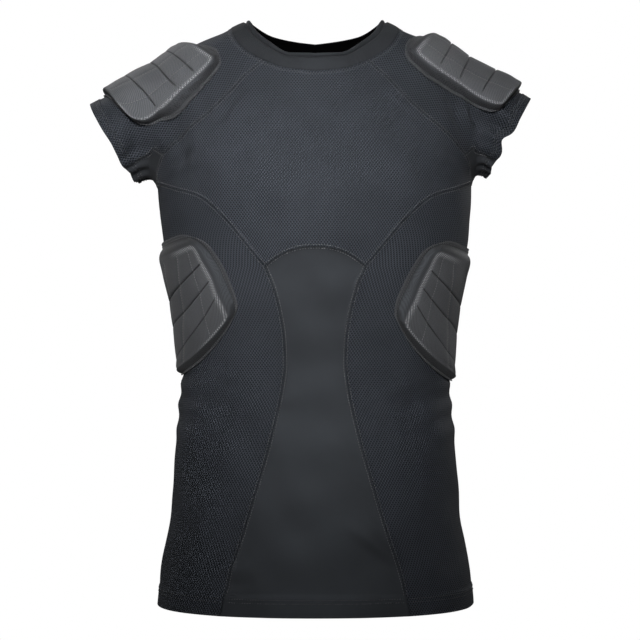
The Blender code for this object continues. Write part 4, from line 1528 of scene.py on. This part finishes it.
def thread_material(name, colour):
    """A twisted thread."""
    material, tree, shader = new_material(name, THREAD_LOOK)
    world = node(tree, "TexCoord").outputs["Object"]
    twist = node(tree, "TexNoise", {"Vector": world, **TWIST_NOISE}).outputs["Fac"]
    twisted = mixed(tree, twist, scaled(colour, THREAD_DARK), colour)
    tree.links.new(twisted, shader.inputs["Base Color"])
    relief(tree, shader, twist, THREAD_RISE, THREAD_STRENGTH)
    return material


def make_camera():
    """Level with the shirt, straight in front of it."""
    camera = placed("camera", bpy.data.cameras.new("camera"))
    camera.location = (EYE_X, -EYE_AWAY, EYE_Z)
    camera.rotation_euler = (np.pi / 2, 0, 0)
    camera.data.sensor_width = SENSOR
    camera.data.lens = SENSOR * EYE_AWAY / (PICTURE_WIDE * PIXEL)
    bpy.context.scene.camera = camera


def make_lights():
    """Soft boxes, none of which the camera sees."""
    for i, (x, y, z, aim_x, aim_z, size, beam, power) in enumerate(zip(*LIGHTS.values())):
        lamp = bpy.data.lights.new(f"softbox_{i + 1}", "AREA")
        lamp.shape = "DISK"
        lamp.size = size
        lamp.energy = power
        lamp.spread = np.radians(beam)
        stand = placed(lamp.name, lamp)
        stand.visible_camera = False
        stand.location = (x, y, z)
        facing = stand.location - Vector((aim_x, 0, aim_z))
        stand.rotation_euler = facing.to_track_quat("Z", "Y").to_euler()


def make_world():
    """White behind the shirt, and a weaker light from all round."""
    world = bpy.data.worlds.new("studio")
    bpy.context.scene.world = world
    world.use_nodes = True
    tree = world.node_tree
    tree.nodes.clear()
    seen = node(tree, "Background", {"Color": (1, 1, 1, 1), "Strength": 1.0})
    light = node(tree, "Background", {"Color": (1, 1, 1, 1), "Strength": AMBIENT})
    path = node(tree, "LightPath")
    either = tree.nodes.new("ShaderNodeMixShader")
    tree.links.new(path.outputs["Is Camera Ray"], either.inputs[0])
    tree.links.new(light.outputs[0], either.inputs[1])
    tree.links.new(seen.outputs[0], either.inputs[2])
    out = node(tree, "OutputWorld")
    tree.links.new(either.outputs[0], out.inputs["Surface"])


def make_floor():
    material, tree, shader = new_material("floor_paint", {"Roughness": FLOOR_ROUGH})
    world = node(tree, "TexCoord").outputs["Object"]
    noise = node(tree, "TexNoise", {"Vector": world, "Scale": FLOOR_SCALE}).outputs["Fac"]
    tree.links.new(mixed(tree, noise, *FLOOR_COLOURS), shader.inputs["Base Color"])
    turn = np.linspace(0, 2 * np.pi, FLOOR_STEPS, endpoint=False)
    points = np.stack([np.cos(turn) * FLOOR_RADIUS, np.sin(turn) * FLOOR_RADIUS, 0 * turn + FLOOR_Z], -1)
    mesh = bpy.data.meshes.new("floor")
    mesh.from_pydata(points, [], [range(len(turn))])
    mesh.materials.append(material)
    placed("floor", mesh)


def panel_area(grid):
    """The area of a grid's surface."""
    a = np.cross(grid[1:, :-1] - grid[:-1, :-1], grid[:-1, 1:] - grid[:-1, :-1])
    b = np.cross(grid[:-1, 1:] - grid[1:, 1:], grid[1:, :-1] - grid[1:, 1:])
    return (np.linalg.norm(a, axis=-1) + np.linalg.norm(b, axis=-1)).sum() / 2


def cut_from(piece, grid):
    """Works out a panel's cut, its size on the wearer less the stretch, and keeps none of it. Its length is
    that of its side edge.
    """
    wide = lengths(grid, 1)[:, -1].max() / STRETCH_ACROSS
    long = lengths(grid, 0)[-1].max() / STRETCH_DOWN
    area = panel_area(grid) / (STRETCH_ACROSS * STRETCH_DOWN)
    size = (round(wide, 3), round(long, 3))
    area = min(round(area, 4), size[0] * size[1])


def make_clothing():
    """Every piece of the shirt, in its place."""
    inside, mesh_cloth, smooth_cloth, collar_cloth = (
        cloth_material(name, **look) for name, look in CLOTHS.items()
    )
    shoulder_cover, rib_cover = (pad_material(name, **look) for name, look in PAD_COVERS.items())
    seam_thread, edge_thread, hem_thread, quilt_thread = (
        thread_material(name, colour) for name, colour in THREADS.items()
    )
    points = seam_points()
    side = side_grid(points)
    for end, way in (("front", 1), ("back", -1)):
        corner = points[f"raglan_{end}"][RAGLAN_STEPS]
        points[f"gusset_{end}"] = gusset_edge(corner, way * GUSSET_ANGLE)
    chest, belly, back = chest_grid(points), belly_grid(points), back_grid(points)
    sleeve, gusset = sleeve_grid(points), gusset_grid(points, side)

    mesh = {"materials": (mesh_cloth, inside), "slot": "mesh_cloth"}
    plain = {"materials": (smooth_cloth, inside), "slot": "smooth_cloth"}
    cuffed = {"turned": CUFF_EDGE_STEPS, "place": sleeve_place}
    cut_from(*cloth("chest_panel_cloth", chest, **mesh))
    cut_from(*cloth("belly_panel_cloth", belly, **plain, turned=HEM_ROWS))
    cut_from(*cloth("back_panel_cloth", back, **mesh, turned=HEM_ROWS))
    seam_lines = []
    for name, way in (("left", 1), ("right", -1)):
        cut_from(*cloth(f"side_panel_{name}_cloth", on_side(side, way), **mesh, turned=HEM_ROWS))
        cut_from(*cloth(f"sleeve_{name}_cloth", on_side(sleeve, way), **mesh, **cuffed))
        cut_from(*cloth(f"gusset_{name}_cloth", on_side(gusset, way), **plain, **cuffed))
        shoulder = LEFT_SHOULDER_PAD if way > 0 else RIGHT_SHOULDER_PAD
        shift = np.array(RIB_PAD_SHIFT) * way
        for piece, rows, kind, place, moved, cover in (
            (f"shoulder_pad_{name}", shoulder, SHOULDER_KIND, at_arm, NO_SHIFT, shoulder_cover),
            (f"rib_pad_{name}", RIB_PAD, RIB_KIND, at_angle, shift, rib_cover),
        ):
            edges, lines = pad(piece, rows, kind, place, moved, way, cover)
            stitches(f"{piece}_stitches", lines, quilt_thread)
            stitches(f"{piece}_edging", edges, edge_thread)
        for seam in ("raglan", "side", "gusset"):
            seam_lines += [on_side(points[f"{seam}_{end}"], way) for end in ("front", "back")]
        seam_lines.append(on_side(side[0], way))
    seam_lines.append(chest[-1])
    rows = [row for line in seam_lines for row in seam_rows(line)]
    stitches("seam_stitches", rows, seam_thread)

    ring = neck_ring(chest, sleeve, back)
    made, collar_at = collar(ring, (collar_cloth, inside))
    cut_from(made, np.concatenate([collar_at, collar_at[:, :1]], 1))
    rows = seam_rows(np.concatenate([ring, ring[:1]]), away=COLLAR_STITCH_AWAY)
    stitches("collar_stitches", rows, hem_thread)

    hem = np.concatenate([belly[-1, :-1], side[-1, :-1], back[-1, ::-1][:-1], mirrored(side[-1, ::-1])])
    lines = [settle(hem + np.array([0, 0, HEM_TALL - down])) for down in HEM_STITCH_DOWN]
    around = np.linspace(-180, 180, CUFF_STITCH_POINTS)
    for way in (1, -1):
        for inward in CUFF_STITCH_IN:
            reach = np.full(len(around), CUFF_REACH - CUFF_TALL + inward)
            lines.append(on_side(at_arm(around, reach), way))
    lift = HEM_THICK - CLOTH_THICK - SEAM_RISE
    rows = [row for line in lines for row in seam_rows(line, away=(0.0,), lift=lift)]
    stitches("hem_stitches", rows, hem_thread)


bpy.context.scene.view_settings.view_transform = "Standard"
make_camera()
make_lights()
make_world()
make_floor()
make_clothing()
